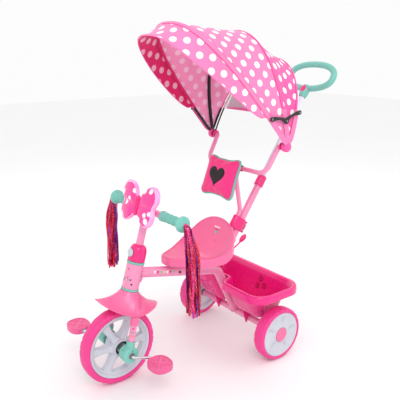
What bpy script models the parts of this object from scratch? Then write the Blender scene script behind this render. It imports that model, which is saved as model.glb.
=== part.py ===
"""Children's tricycle with a push pole, a folding canopy and a rear basket.

Modelling frame: metres, +Z up, the front wheel looks along -Y and the rider's left is +X.
The front axle starts at y = 0; at the end the whole model is moved so that its origin is
the middle of its footprint, on the ground.
Parts that share an axis hang from an empty on that axis, so their own numbers stay simple:
  steering frame  origin at the front axle, local Z up the steering axis
  pole frame      origin on the pole's axis low behind the seat, local Z up the pole
  canopy frames   origin on the pivot line through the canopy's two tips
"""
import math

import bmesh
import bpy
from mathutils import Matrix, Vector

# ------------------------------------------------------------------ driving dimensions
FIT_GAP = 0.0004              # between pieces that touch or are welded
RUN_GAP = 0.0006              # radial gap of a turning fit

# wheels
FRONT_TYRE_RADIUS = 0.127
FRONT_TYRE_WIDTH = 0.046
FRONT_RIM_RADIUS = 0.1065
REAR_TYRE_RADIUS = 0.093
REAR_TYRE_WIDTH = 0.045
REAR_RIM_RADIUS = 0.0785
WHEELBASE = 0.504
OVERALL_WIDTH = 0.477         # over the two rear wheels
AXLE_ROD_RADIUS = 0.005
AXLE_TUBE_RADIUS = 0.0125
HUB_CAP_RADIUS = 0.025
RIM_WINDOWS = 6
WHEEL_SEGMENTS = 30                   # a tyre and its rim share them, so their flats line up

# crank and pedals
CRANK_ROD_RADIUS = 0.0045
CRANK_LENGTH = 0.066
CRANK_ANGLE = math.radians(-19.5)     # of the left arm, from straight back
PEDAL_LENGTH = 0.080                  # along X
PEDAL_DEPTH = 0.072
PEDAL_THICKNESS = 0.020

# head and steering
HEAD_TILT = math.radians(16.2)
HEAD_TUBE_RADIUS = 0.027
HEAD_TUBE_BORE = 0.0175
HEAD_TUBE_LENGTH = 0.080
HEAD_TUBE_BOTTOM = 0.192              # up the steering axis from the axle
HEAD_RING_HEIGHT = 0.007
HEAD_RING_RADIUS = HEAD_TUBE_RADIUS + 0.0015
STEM_RADIUS = 0.012
HANDLEBAR_RADIUS = 0.011
HANDLEBAR_HEIGHT = 0.447              # up the steering axis from the axle
HANDLEBAR_LENGTH = 0.394
GRIP_LENGTH = 0.117
FORK_RADIUS = 0.010
FORK_LEG_X = 0.068
CRANK_ARM_X = FORK_LEG_X + 0.030
PEDAL_CENTRE_X = CRANK_ARM_X + 0.052
FORK_SHOULDER_X = FORK_LEG_X - 0.006
FORK_CROWN_HEIGHT = 0.148
FENDER_WALL = 0.003
TASSEL_LENGTH = 0.272
TASSEL_RADIUS = 0.0220
TASSEL_SPLAY = 0.035                  # outward from the grip's end to the tassel's middle
BUTTON_RADIUS = 0.0135
BUTTON_TRAVEL = 0.0025

# frame
MAIN_TUBE_HALF_HEIGHT = 0.0175
MAIN_TUBE_HALF_WIDTH = 0.013
MAIN_TUBE_FRONT = (HEAD_TUBE_RADIUS + 0.068, 0.352)   # y, z of the tube's middle at the head tube
MAIN_TUBE_BEND = (0.410, 0.281)
MAIN_TUBE_BEND_RADIUS = 0.045

# push pole
POLE_TILT = math.radians(34.7)
POLE_BASE = (0.421, 0.300)            # y, z
POLE_LOWER_RADIUS = 0.013
POLE_LOWER_BORE = 0.0106
POLE_LOWER_TOP = 0.348                # up the pole
POLE_UPPER_RADIUS = 0.0098
POLE_UPPER_TOP = 0.700
POLE_INSERTION = 0.110
SOCKET_RADIUS = 0.0168
SOCKET_TOP = 0.105
CLAMP_BOTTOM = 0.135
CLAMP_HEIGHT = 0.046
STEM_OFFSET = 0.0255                  # from the pole's axis to the canopy stem's axis
HANDLE_HALF_WIDTH = 0.104
HANDLE_HEIGHT = 0.097
HANDLE_TUBE_RADIUS = 0.0115
HANDLE_LEAN = math.radians(-6.7)      # of the ring, from the pole's line

# seat
SEAT_WALL = 0.004
SEAT_WIDTH = 0.228
SEAT_BASIN = (0.325, 0.350)           # y, z of the basin's lowest point
SEAT_SKIRT = 0.026

# basket
BASKET_WIDTH = OVERALL_WIDTH - 0.012
BASKET_RIM_HEIGHT = 0.250
BASKET_FLOOR_HEIGHT = 0.132
BASKET_FRONT = WHEELBASE - 0.109
BASKET_REAR = WHEELBASE + 0.108
BASKET_WALL = 0.003
BASKET_TUBE_GAP = 0.0035
RIB_X = 0.078                         # of the two ribs that hook over the axle tube

# canopy
CANOPY_PIVOT = (0.540, 0.735)         # y, z of the tips
CANOPY_YOKE_RADIUS = 0.008
CANOPY_HALF_WIDTH = 0.194
CANOPY_CLOTH = 0.0016
FRONT_PANEL_DIP = 0.004               # of the cloth between two bows
REAR_PANEL_DIP = 0.009
BOW_RADIUS = 0.0028
BOW_PITCH = 0.006                     # between the bows' eyes, along the pivot
# each bow: angle up from straight ahead, height of its arch, superellipse exponent of the arch
FRONT_BOW = (math.radians(49.5), 0.496, 2.6)
MIDDLE_BOW = (math.radians(80.0), 0.362, 2.4)
REAR_BOW = (math.radians(112.0), 0.290, 2.2)
CROSSBAR = (0.487, 0.645)             # y, z
YOKE_CORNER_X = 0.150
YOKE_TIP_X = 0.158
VISOR_REACH = 0.078
VISOR_FLARE = 0.022
BACK_WALL_HEM = 0.100                 # up the rear bow from the tips
SPREADER_LINK = 0.0655
SPREADER_THICKNESS = 0.003
FRONT_RIVET = 0.127                   # up the front bow from the tips
REAR_RIVET = 0.117

# head cushion
CUSHION_SIZE = (0.176, 0.040, 0.150)
CUSHION_CENTRE = (0.425, 0.617)
CUSHION_TILT = math.radians(-20.0)


# ------------------------------------------------------------------ helpers
def clear_scene():
    for obj in list(bpy.data.objects):
        bpy.data.objects.remove(obj, do_unlink=True)


def material(name, colour, roughness, metallic=0.0):
    mat = bpy.data.materials.new(name)
    mat.use_nodes = True
    shader = mat.node_tree.nodes["Principled BSDF"]
    shader.inputs["Base Color"].default_value = (*colour, 1.0)
    shader.inputs["Roughness"].default_value = roughness
    shader.inputs["Metallic"].default_value = metallic
    return mat


def pivot(name, location, parent=None, rotation=(0.0, 0.0, 0.0)):
    empty = bpy.data.objects.new(name, None)
    empty.empty_display_size = 0.03
    empty.location = location
    empty.rotation_euler = rotation
    empty.parent = parent
    bpy.context.scene.collection.objects.link(empty)
    return empty


def add_mesh(name, bm, mat, parent, location=(0.0, 0.0, 0.0), rotation=(0.0, 0.0, 0.0)):
    """Turn a bmesh into a linked object with its faces pointing out."""
    bmesh.ops.remove_doubles(bm, verts=bm.verts, dist=1e-6)
    bmesh.ops.recalc_face_normals(bm, faces=bm.faces)
    mesh = bpy.data.meshes.new(name)
    bm.to_mesh(mesh)
    bm.free()
    mesh.materials.append(mat)
    mesh.shade_smooth()
    mesh.set_sharp_from_angle(angle=math.radians(35.0))
    obj = bpy.data.objects.new(name, mesh)
    obj.location = location
    obj.rotation_euler = rotation
    obj.parent = parent
    bpy.context.scene.collection.objects.link(obj)
    return obj


def ring_faces(bm, first, second):
    count = len(first)
    for i in range(count):
        j = (i + 1) % count
        bm.faces.new((first[i], first[j], second[j], second[i]))


def loft(name, rings, mat, parent, closed=False, **place):
    """Skin closed rings of points in order; the ends are capped unless the skin closes on itself."""
    bm = bmesh.new()
    loops = [[bm.verts.new(point) for point in ring] for ring in rings]
    for first, second in zip(loops, loops[1:]):
        ring_faces(bm, first, second)
    if closed:
        ring_faces(bm, loops[-1], loops[0])
    else:
        bm.faces.new(loops[0])
        bm.faces.new(loops[-1])
    return add_mesh(name, bm, mat, parent, **place)


def turned(name, profile, mat, parent, axis="Z", segments=24, **place):
    """Turn a closed profile of (radius, height) points about the given local axis."""
    bm = bmesh.new()
    verts = [bm.verts.new((radius, 0.0, height)) for radius, height in profile]
    edges = [bm.edges.new((verts[i], verts[(i + 1) % len(verts)])) for i in range(len(verts))
             if profile[i][0] > 1e-7 or profile[(i + 1) % len(verts)][0] > 1e-7]
    bmesh.ops.spin(bm, geom=verts + edges, cent=(0, 0, 0), axis=(0, 0, 1),
                   angle=2.0 * math.pi, steps=segments, use_merge=True)
    bmesh.ops.remove_doubles(bm, verts=bm.verts, dist=1e-6)
    if axis == "X":
        bmesh.ops.rotate(bm, verts=bm.verts, matrix=Matrix.Rotation(math.pi / 2.0, 3, "Y"))
    if axis == "Y":
        bmesh.ops.rotate(bm, verts=bm.verts, matrix=Matrix.Rotation(-math.pi / 2.0, 3, "X"))
    return add_mesh(name, bm, mat, parent, **place)


def arc(centre, radius, start, end, steps):
    """Points along an arc in a plane; angles in radians."""
    return [(centre[0] + radius * math.cos(start + (end - start) * i / steps),
             centre[1] + radius * math.sin(start + (end - start) * i / steps))
            for i in range(steps + 1)]


def rounded_path(corners, radii, steps=5):
    """Straight runs between 3-D corners, each inner corner rounded to its bend radius."""
    points = [Vector(corners[0])]
    for before, corner, after, radius in zip(corners, corners[1:], corners[2:], radii):
        before, corner, after = Vector(before), Vector(corner), Vector(after)
        into, out = (before - corner).normalized(), (after - corner).normalized()
        half = into.angle(out) / 2.0
        centre = corner + (into + out).normalized() * (radius / math.sin(half))
        start = corner + into * (radius / math.tan(half))
        end = corner + out * (radius / math.tan(half))
        normal = (start - centre).cross(end - centre).normalized()
        sweep = (start - centre).angle(end - centre)
        for i in range(steps + 1):
            turn = Matrix.Rotation(sweep * i / steps, 3, normal)
            points.append(centre + turn @ (start - centre))
    points.append(Vector(corners[-1]))
    return points


def tube(name, points, radius, mat, parent, sides=12, closed=False, **place):
    """A round bar along a path, made by a bevelled curve with filled ends."""
    curve = bpy.data.curves.new(name, "CURVE")
    curve.dimensions = "3D"
    curve.bevel_depth = radius
    curve.bevel_resolution = (sides - 4) // 2
    curve.use_fill_caps = not closed
    spline = curve.splines.new("POLY")
    spline.points.add(len(points) - 1)
    for target, point in zip(spline.points, points):
        target.co = (*point, 1.0)
    spline.use_cyclic_u = closed
    helper = bpy.data.objects.new(name + "_curve", curve)
    bpy.context.scene.collection.objects.link(helper)
    bpy.context.view_layer.update()
    mesh = bpy.data.meshes.new_from_object(helper.evaluated_get(bpy.context.evaluated_depsgraph_get()))
    bm = bmesh.new()
    bm.from_mesh(mesh)
    bpy.data.objects.remove(helper)
    return add_mesh(name, bm, mat, parent, **place)


def box(name, low, high, mat, parent, bevel=0.0, **place):
    bm = bmesh.new()
    low, high = Vector(low), Vector(high)
    bmesh.ops.create_cube(bm, size=1.0)
    bmesh.ops.scale(bm, vec=high - low, verts=bm.verts)
    bmesh.ops.translate(bm, vec=(high + low) / 2.0, verts=bm.verts)
    if bevel:
        bmesh.ops.bevel(bm, geom=bm.edges[:], offset=bevel, segments=2, affect="EDGES", profile=0.5)
    return add_mesh(name, bm, mat, parent, **place)


def extruded(name, outline, low, high, mat, parent, axis="X", **place):
    """A flat outline pulled along an axis: outlines are (y, z) for X, (x, z) for Y, (x, y) for Z."""
    def point(a, b, c):
        return {"X": (c, a, b), "Y": (a, c, b), "Z": (a, b, c)}[axis]
    rings = [[point(a, b, level) for a, b in outline] for level in (low, high)]
    return loft(name, rings, mat, parent, **place)


def sheet(name, rows, thickness, mat, parent, wrap=False, offset=-1.0, **place):
    """A grid of points given a wall thickness."""
    bm = bmesh.new()
    grid = [[bm.verts.new(point) for point in row] for row in rows]
    for first, second in zip(grid, grid[1:]):
        count = len(first)
        for i in range(count if wrap else count - 1):
            j = (i + 1) % count
            corners = [first[i], first[j], second[j], second[i]]
            bm.faces.new(corners)
    obj = add_mesh(name, bm, mat, parent, **place)
    wall = obj.modifiers.new("wall", "SOLIDIFY")
    wall.thickness = thickness
    wall.offset = offset
    wall.use_even_offset = False
    return obj


def combine(obj, tool, operation="DIFFERENCE"):
    """Cut obj with tool, or weld tool onto it; the tool itself is only a guide."""
    tool.hide_render = True
    tool.display_type = "WIRE"
    cut = obj.modifiers.new(tool.name, "BOOLEAN")
    cut.operation = operation
    cut.object = tool
    cut.solver = "EXACT"
    return obj


def smooth_curve(points, steps):
    """A smooth open curve through the points (Catmull-Rom), with steps points per span."""
    points = [Vector(point) for point in points]
    padded = [2 * points[0] - points[1]] + points + [2 * points[-1] - points[-2]]
    result = []
    for i in range(len(points) - 1):
        before, start, end, after = padded[i:i + 4]
        for k in range(steps):
            t = k / steps
            result.append(0.5 * ((2 * start) + (end - before) * t
                                 + (2 * before - 5 * start + 4 * end - after) * t ** 2
                                 + (3 * start - before - 3 * end + after) * t ** 3))
    result.append(points[-1])
    return result


clear_scene()
PINK_PAINT = material("pink_paint", (0.93, 0.36, 0.58), 0.35)
PINK_PLASTIC = material("pink_plastic", (0.98, 0.22, 0.42), 0.3)
HOT_PINK = material("hot_pink_plastic", (0.85, 0.02, 0.22), 0.35)
TYRE_PINK = material("tyre_pink", (0.84, 0.03, 0.22), 0.5)
WHITE = material("white_plastic", (0.85, 0.86, 0.88), 0.35)
MINT = material("mint_plastic", (0.22, 0.60, 0.47), 0.4)
BLACK = material("black_plastic", (0.015, 0.012, 0.014), 0.45)
CHROME = material("chrome", (0.8, 0.8, 0.8), 0.12, 1.0)
SILVER = material("silver_paint", (0.78, 0.80, 0.86), 0.3)
CLOTH = material("pink_cloth", (0.95, 0.16, 0.38), 0.85)
CUSHION_CLOTH = material("cushion_cloth", (0.90, 0.05, 0.18), 0.9)
FOIL = material("tassel_foil", (0.70, 0.02, 0.20), 0.3)

tricycle = pivot("tricycle", (0.0, 0.0, 0.0))
front_axle = pivot("front_axle", (0.0, 0.0, FRONT_TYRE_RADIUS), tricycle)
steering = pivot("steering_axis", (0.0, 0.0, FRONT_TYRE_RADIUS), tricycle, (-HEAD_TILT, 0.0, 0.0))
head = pivot("head_axis", (0.0, 0.0, FRONT_TYRE_RADIUS), tricycle, (-HEAD_TILT, 0.0, 0.0))
pole = pivot("pole_axis", (0.0, *POLE_BASE), tricycle, (-POLE_TILT, 0.0, 0.0))
canopy = pivot("canopy_pivot", (0.0, *CANOPY_PIVOT), tricycle)


# ------------------------------------------------------------------ wheels
def tyre_profile(radius, inner, width, middle):
    """Half-round tread with soft shoulders, standing on the rim's edge."""
    half = width / 2.0
    wall = radius - inner
    return [(inner, middle - half + 0.002), (inner + 0.25 * wall, middle - half),
            (inner + 0.70 * wall, middle - half + 0.002), (radius, middle - half + 0.010),
            (radius, middle + half - 0.010), (inner + 0.70 * wall, middle + half - 0.002),
            (inner + 0.25 * wall, middle + half), (inner, middle + half - 0.002)]


def front_wheel():
    turned("front_tyre", tyre_profile(FRONT_TYRE_RADIUS, FRONT_RIM_RADIUS + FIT_GAP, FRONT_TYRE_WIDTH, 0.0),
           TYRE_PINK, front_axle, axis="X", segments=WHEEL_SEGMENTS)
    lip = FRONT_TYRE_WIDTH / 2.0 - 0.0027
    bore = CRANK_ROD_RADIUS + FIT_GAP
    half = [(bore, 0.018), (0.016, 0.018), (0.016, 0.030), (0.026, 0.030), (0.029, 0.013),
            (FRONT_RIM_RADIUS - 0.015, 0.011), (FRONT_RIM_RADIUS - 0.0125, lip), (FRONT_RIM_RADIUS, lip)]
    rim = turned("front_rim", half + [(r, -x) for r, x in reversed(half)], WHITE, front_axle,
                 axis="X", segments=WHEEL_SEGMENTS)
    for index in range(RIM_WINDOWS):
        middle = math.radians(30.0) + index * 2.0 * math.pi / RIM_WINDOWS
        inner, outer = 0.040, FRONT_RIM_RADIUS - 0.020
        outline = arc((0, 0), outer, middle - 0.33, middle + 0.33, 3)
        outline += arc((0, 0), inner, middle + 0.24, middle - 0.24, 1)
        window = extruded(f"window_{index}", outline, -0.02, 0.02, WHITE, front_axle)
        combine(rim, window)
    out = Vector((0.0, math.cos(CRANK_ANGLE), math.sin(CRANK_ANGLE))) * CRANK_LENGTH
    end_x = PEDAL_CENTRE_X + PEDAL_LENGTH / 2.0 - 0.004
    arm_end = Vector((CRANK_ARM_X + 0.004, 0, 0)) + out
    left = [(end_x, out.y, out.z), arm_end, (CRANK_ARM_X, 0.0, 0.0)]
    corners = left + [(-x, -y, -z) for x, y, z in reversed(left)]
    path = rounded_path(corners, [0.006] * 4, steps=3)
    tube("crank_axle", path, CRANK_ROD_RADIUS, CHROME, front_axle, sides=10)


def pedal(name, side):
    centre = Vector((0.0, math.cos(CRANK_ANGLE), math.sin(CRANK_ANGLE))) * CRANK_LENGTH * side
    pin = pivot(name + "_pin", centre, front_axle)
    half_x, half_y, half_z = PEDAL_LENGTH / 2.0, PEDAL_DEPTH / 2.0, PEDAL_THICKNESS / 2.0

    def ring(scale, height):
        points = []
        for i in range(16):
            t = 2.0 * math.pi * i / 16
            across = half_x * scale * math.copysign(abs(math.cos(t)) ** 0.8, math.cos(t))
            ahead = half_y * scale * math.copysign(abs(math.sin(t)) ** 0.8, math.sin(t))
            points.append((side * PEDAL_CENTRE_X + across, ahead, height))
        return points
    rings = [ring(0.93, -half_z), ring(1.0, -half_z + 0.003), ring(1.0, half_z - 0.003), ring(0.93, half_z)]
    body = loft(name, rings, PINK_PLASTIC, pin)
    bore = turned(name + "_bore", [(0.0, -0.06), (CRANK_ROD_RADIUS + RUN_GAP, -0.06),
                                   (CRANK_ROD_RADIUS + RUN_GAP, 0.06), (0.0, 0.06)], CHROME, pin, axis="X",
                  segments=16, location=(side * PEDAL_CENTRE_X, 0.0, 0.0))
    combine(body, bore)


def rear_wheel(word, side):
    hub = pivot(f"rear_hub_{word}", (0.0, WHEELBASE, REAR_TYRE_RADIUS), tricycle)
    outer = OVERALL_WIDTH / 2.0
    middle = outer - REAR_TYRE_WIDTH / 2.0 - 0.0005
    inside = middle - REAR_TYRE_WIDTH / 2.0
    bore = AXLE_ROD_RADIUS + RUN_GAP
    tyre = [(r, side * x) for r, x in
            tyre_profile(REAR_TYRE_RADIUS, REAR_RIM_RADIUS + FIT_GAP, REAR_TYRE_WIDTH, middle)]
    turned(f"rear_tyre_{word}", tyre, TYRE_PINK, hub, axis="X", segments=WHEEL_SEGMENTS)
    seat = outer - 0.0065
    profile = [(bore, inside + 0.003), (0.022, inside + 0.003), (0.024, inside + 0.012),
               (REAR_RIM_RADIUS - 0.018, inside + 0.014), (REAR_RIM_RADIUS - 0.014, inside + 0.004),
               (REAR_RIM_RADIUS, inside + 0.004), (REAR_RIM_RADIUS, outer - 0.003),
               (REAR_RIM_RADIUS - 0.007, outer - 0.001), (REAR_RIM_RADIUS - 0.018, outer - 0.007),
               (HUB_CAP_RADIUS + 0.006, outer - 0.005), (HUB_CAP_RADIUS + 0.001, outer - 0.0015),
               (HUB_CAP_RADIUS + 0.0006, seat), (bore, seat)]
    turned(f"rear_rim_{word}", [(r, side * x) for r, x in profile], WHITE, hub, axis="X",
           segments=WHEEL_SEGMENTS)
    cap = [(0.0, seat + FIT_GAP), (HUB_CAP_RADIUS, seat + FIT_GAP), (HUB_CAP_RADIUS, outer - 0.0015),
           (HUB_CAP_RADIUS - 0.002, outer), (0.0, outer)]
    turned(f"hub_cap_{word}", [(r, side * x) for r, x in cap], PINK_PLASTIC, hub, axis="X", segments=20)


def rear_axle():
    inside = OVERALL_WIDTH / 2.0 - REAR_TYRE_WIDTH - 0.0005
    tube_end = inside - 0.004
    middle = pivot("rear_axle_axis", (0.0, WHEELBASE, REAR_TYRE_RADIUS), tricycle)
    bore = AXLE_ROD_RADIUS + RUN_GAP
    turned("axle_tube", [(bore, -tube_end), (AXLE_TUBE_RADIUS, -tube_end), (AXLE_TUBE_RADIUS, tube_end),
                         (bore, tube_end)], PINK_PAINT, middle, axis="X", segments=16)
    rod_end = OVERALL_WIDTH / 2.0 - 0.0075
    turned("rear_axle_rod", [(0.0, -rod_end), (AXLE_ROD_RADIUS, -rod_end), (AXLE_ROD_RADIUS, rod_end),
                             (0.0, rod_end)], CHROME, middle, axis="X", segments=12)


# ------------------------------------------------------------------ frame
def main_tube():
    """One bent oval tube, from the head tube under the seat and down to the rear axle tube."""
    axle = Vector((0.0, WHEELBASE, REAR_TYRE_RADIUS))
    bend = Vector((0.0, *MAIN_TUBE_BEND))
    down = (axle - bend).normalized()
    foot = axle - down * (AXLE_TUBE_RADIUS + FIT_GAP)
    path = rounded_path([(0.0, *MAIN_TUBE_FRONT), bend, foot], [MAIN_TUBE_BEND_RADIUS], steps=5)
    rings = []
    for index, point in enumerate(path):
        ahead = path[min(index + 1, len(path) - 1)]
        behind = path[max(index - 1, 0)]
        along = (ahead - behind).normalized()
        across = Vector((0.0, -along.z, along.y))
        rings.append([point + across * (MAIN_TUBE_HALF_HEIGHT * math.sin(t))
                      + Vector((MAIN_TUBE_HALF_WIDTH * math.cos(t), 0, 0))
                      for t in (2.0 * math.pi * i / 12 for i in range(12))])
    loft("main_tube", rings, PINK_PAINT, tricycle)
    along = (bend - Vector((0.0, *MAIN_TUBE_FRONT))).normalized()
    spot = Vector((0.0, *MAIN_TUBE_FRONT)) + along * 0.147
    face = MAIN_TUBE_HALF_WIDTH + FIT_GAP
    turned("frame_bolt", [(0.0, face), (0.0045, face), (0.004, face + 0.0025), (0.0, face + 0.003)], BLACK,
           tricycle, axis="X", segments=12, location=spot)


def head_set():
    top = HEAD_TUBE_BOTTOM + HEAD_TUBE_LENGTH
    bore = HEAD_TUBE_BORE
    turned("head_tube", [(bore, HEAD_TUBE_BOTTOM), (HEAD_TUBE_RADIUS, HEAD_TUBE_BOTTOM),
                         (HEAD_TUBE_RADIUS, top), (bore, top)], PINK_PAINT, head, segments=20)
    lower_top = HEAD_TUBE_BOTTOM - FIT_GAP
    upper_low = top + FIT_GAP
    for name, low in (("head_ring_lower", lower_top - HEAD_RING_HEIGHT), ("head_ring_upper", upper_low)):
        high = low + HEAD_RING_HEIGHT
        turned(name, [(bore, low), (HEAD_RING_RADIUS, low), (HEAD_RING_RADIUS, high), (bore, high)],
               MINT, head, segments=20)


# ------------------------------------------------------------------ steering assembly
def fork():
    shoulder = FORK_CROWN_HEIGHT - 0.047
    left = [(FORK_LEG_X, 0, 0.0130), (FORK_LEG_X, 0, 0.045), (FORK_SHOULDER_X, 0, shoulder),
            (FORK_SHOULDER_X - 0.026, 0, FORK_CROWN_HEIGHT)]
    corners = left + [(-x, y, z) for x, y, z in reversed(left)]
    path = rounded_path(corners, [0.03, 0.025, 0.028, 0.028, 0.025, 0.03], steps=2)
    tube("fork", path, FORK_RADIUS, PINK_PAINT, steering, sides=10)
    low = FORK_CROWN_HEIGHT + FORK_RADIUS + FIT_GAP
    high = HEAD_TUBE_BOTTOM + HEAD_TUBE_LENGTH + HEAD_RING_HEIGHT
    radius = HEAD_TUBE_BORE - RUN_GAP
    turned("steerer_tube", [(0.0, low), (radius, low), (radius, high), (0.0, high)], SILVER, steering,
           segments=20)


def hub_cover(word, side):
    """Moulded cover that holds the fork leg and the crank's bearing."""
    inner, outer = FORK_LEG_X - 0.018, FORK_LEG_X + 0.019
    lobe = [(0.0, side * inner), (0.024, side * inner), (0.0265, side * (inner + 0.004)),
            (0.0265, side * (outer - 0.004)), (0.023, side * outer), (0.0, side * outer)]
    body = turned(f"hub_cover_{word}", lobe, MINT, steering, axis="X", segments=16)
    neck = turned(f"neck_{word}", [(0.0, 0.0), (0.0135, 0.0), (0.0135, 0.040), (0.012, 0.042), (0.0, 0.042)],
                  MINT, steering, segments=12, location=(side * FORK_LEG_X, 0.0, 0.0))
    leg = turned(f"leg_bore_{word}", [(0.0, 0.0120), (FORK_RADIUS + FIT_GAP, 0.0120),
                                      (FORK_RADIUS + FIT_GAP, 0.06), (0.0, 0.06)],
                 MINT, steering, segments=12, location=(side * FORK_LEG_X, 0.0, 0.0))
    radius = CRANK_ROD_RADIUS + RUN_GAP
    bearing = turned(f"bearing_{word}", [(0.0, side * 0.03), (radius, side * 0.03), (radius, side * 0.11),
                                         (0.0, side * 0.11)], MINT, steering, axis="X", segments=12)
    combine(body, neck, "UNION")
    combine(body, leg)
    combine(body, bearing)


def fender():
    """Flared guard: a collar under the head ring that spreads to a front and a rear wing."""
    collar = HEAD_TUBE_BOTTOM - FIT_GAP - HEAD_RING_HEIGHT - 0.0008
    half = [(0.0, -0.113, 0.1525), (0.034, -0.095, 0.142), (0.056, -0.060, 0.131), (0.072, -0.026, 0.127),
            (0.077, 0.0, 0.127), (0.070, 0.026, 0.128), (0.055, 0.058, 0.133), (0.032, 0.092, 0.141),
            (0.0, 0.113, 0.146)]
    stretch = (FORK_LEG_X + 0.009) / 0.077
    outline = [Vector((x * stretch, y, z)) for x, y, z in half]
    outline += [Vector((-point.x, point.y, point.z)) for point in reversed(outline[1:-1])]
    rows = []
    for level in (0.0, 0.25, 0.5, 0.75, 1.0):
        row = []
        for edge in outline:
            angle = math.atan2(edge.y, edge.x)
            start = Vector((HEAD_RING_RADIUS * math.cos(angle), HEAD_RING_RADIUS * math.sin(angle), collar))
            point = start.lerp(edge, level)
            flare = 1.25 + 0.75 * abs(math.sin(angle))
            point.z = edge.z + (collar - edge.z) * (1.0 - level) ** flare
            row.append(point)
        rows.append(row)
    sheet("front_fender", rows, FENDER_WALL, PINK_PLASTIC, steering, wrap=True, offset=1.0)


def stem():
    low = HEAD_TUBE_BOTTOM + HEAD_TUBE_LENGTH + HEAD_RING_HEIGHT + 2.0 * FIT_GAP
    bore = STEM_RADIUS + FIT_GAP
    radius = HEAD_RING_RADIUS - 0.001
    cap = turned("stem_cap", [(bore, low), (radius, low), (radius, low + 0.032),
                              (radius - 0.0025, low + 0.044), (radius - 0.008, low + 0.052),
                              (bore, low + 0.055)], HOT_PINK, steering, segments=20)
    centre = low + 0.026
    floor = -(radius - 0.0052)
    pocket = turned("button_pocket", [(0.0, -0.05), (BUTTON_RADIUS + 0.0006, -0.05),
                                      (BUTTON_RADIUS + 0.0006, floor), (0.0, floor)], HOT_PINK, steering,
                    axis="Y", segments=24, location=(0.0, 0.0, centre))
    combine(cap, pocket)
    back = floor - BUTTON_TRAVEL - 0.0005
    turned("stem_button", [(0.0, back), (BUTTON_RADIUS, back), (BUTTON_RADIUS, back - 0.0045),
                           (BUTTON_RADIUS - 0.003, back - 0.006), (0.0, back - 0.0065)], WHITE, steering,
           axis="Y", segments=20, location=(0.0, 0.0, centre))
    top = HANDLEBAR_HEIGHT - HANDLEBAR_RADIUS - FIT_GAP
    turned("stem_tube", [(0.0, low + FIT_GAP), (STEM_RADIUS, low + FIT_GAP), (STEM_RADIUS, top), (0.0, top)],
           PINK_PAINT, steering, segments=16)
    half = HANDLEBAR_LENGTH / 2.0
    turned("handlebar", [(0.0, -half), (HANDLEBAR_RADIUS, -half), (HANDLEBAR_RADIUS, half), (0.0, half)],
           PINK_PAINT, steering, axis="X", segments=16, location=(0.0, 0.0, HANDLEBAR_HEIGHT))


def grip(word, side):
    end = HANDLEBAR_LENGTH / 2.0
    bore = HANDLEBAR_RADIUS + FIT_GAP
    outer = end + 0.006
    start = outer - GRIP_LENGTH
    profile = [(bore, start), (0.0165, start), (0.0165, start + 0.006), (0.0145, start + 0.009),
               (0.0140, start + 0.050), (0.0150, outer - 0.021), (0.0240, outer - 0.017),
               (0.0240, outer - 0.010), (0.0165, outer - 0.0075), (0.0150, outer), (0.0, outer),
               (0.0, end + FIT_GAP), (bore, end + FIT_GAP)]
    turned(f"grip_{word}", [(r, side * x) for r, x in profile], MINT, steering, axis="X", segments=14,
           location=(0.0, 0.0, HANDLEBAR_HEIGHT))
    hang = pivot(f"tassel_root_{word}", (side * (outer + 0.0005), 0.0, HANDLEBAR_HEIGHT), steering,
                 (HEAD_TILT, 0.0, 0.0))
    # drop below the root, share of the splay, radius
    stations = [(-0.010, 0.0, 0.004), (0.0, 0.03, 0.0068), (0.020, 0.30, 0.0110), (0.050, 0.55, 0.0160),
                (0.110, 0.80, 0.0200), (TASSEL_LENGTH, 1.0, TASSEL_RADIUS)]
    rings = []
    for drop, share, radius in stations:
        centre = 0.0075 + (TASSEL_SPLAY - 0.0075) * share
        rings.append([(side * (centre + radius * math.cos(t)), radius * math.sin(t), -drop)
                      for t in (2.0 * math.pi * i / 10 for i in range(10))])
    loft(f"tassel_{word}", rings, FOIL, hang)


def bow_light():
    """A butterfly-shaped lamp on a bracket in front of the handlebar."""
    half = [(0.0, 0.012), (0.010, 0.022), (0.034, 0.060), (0.062, 0.073), (0.088, 0.063), (0.098, 0.034),
            (0.084, 0.005), (0.090, -0.022), (0.080, -0.045), (0.056, -0.056), (0.030, -0.042),
            (0.010, -0.018), (0.0, -0.014)]
    outline = half + [(-x, z) for x, z in reversed(half[1:-1])]
    centre = (0.0, 0.0, HANDLEBAR_HEIGHT + 0.007)
    rings = []
    for depth, scale in ((-0.048, 0.86), (-0.044, 0.96), (-0.038, 1.0), (-0.030, 1.0), (-0.026, 0.94)):
        rings.append([(x * scale, depth, z * scale) for x, z in outline])
    lamp = loft("butterfly_light", rings, PINK_PLASTIC, steering, location=centre)
    reach = HANDLEBAR_RADIUS + FIT_GAP
    outline = [(-0.030, -0.010), (-0.011, -0.010)]
    outline += [(-reach * math.cos(t), reach * math.sin(t)) for t in (-0.7, -0.35, 0.0, 0.35, 0.7)]
    outline += [(-0.011, 0.013), (-0.030, 0.013)]
    bracket = extruded("light_bracket", outline, -0.012, 0.012, PINK_PLASTIC, steering,
                       location=(0.0, 0.0, HANDLEBAR_HEIGHT))
    combine(lamp, bracket, "UNION")


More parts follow.
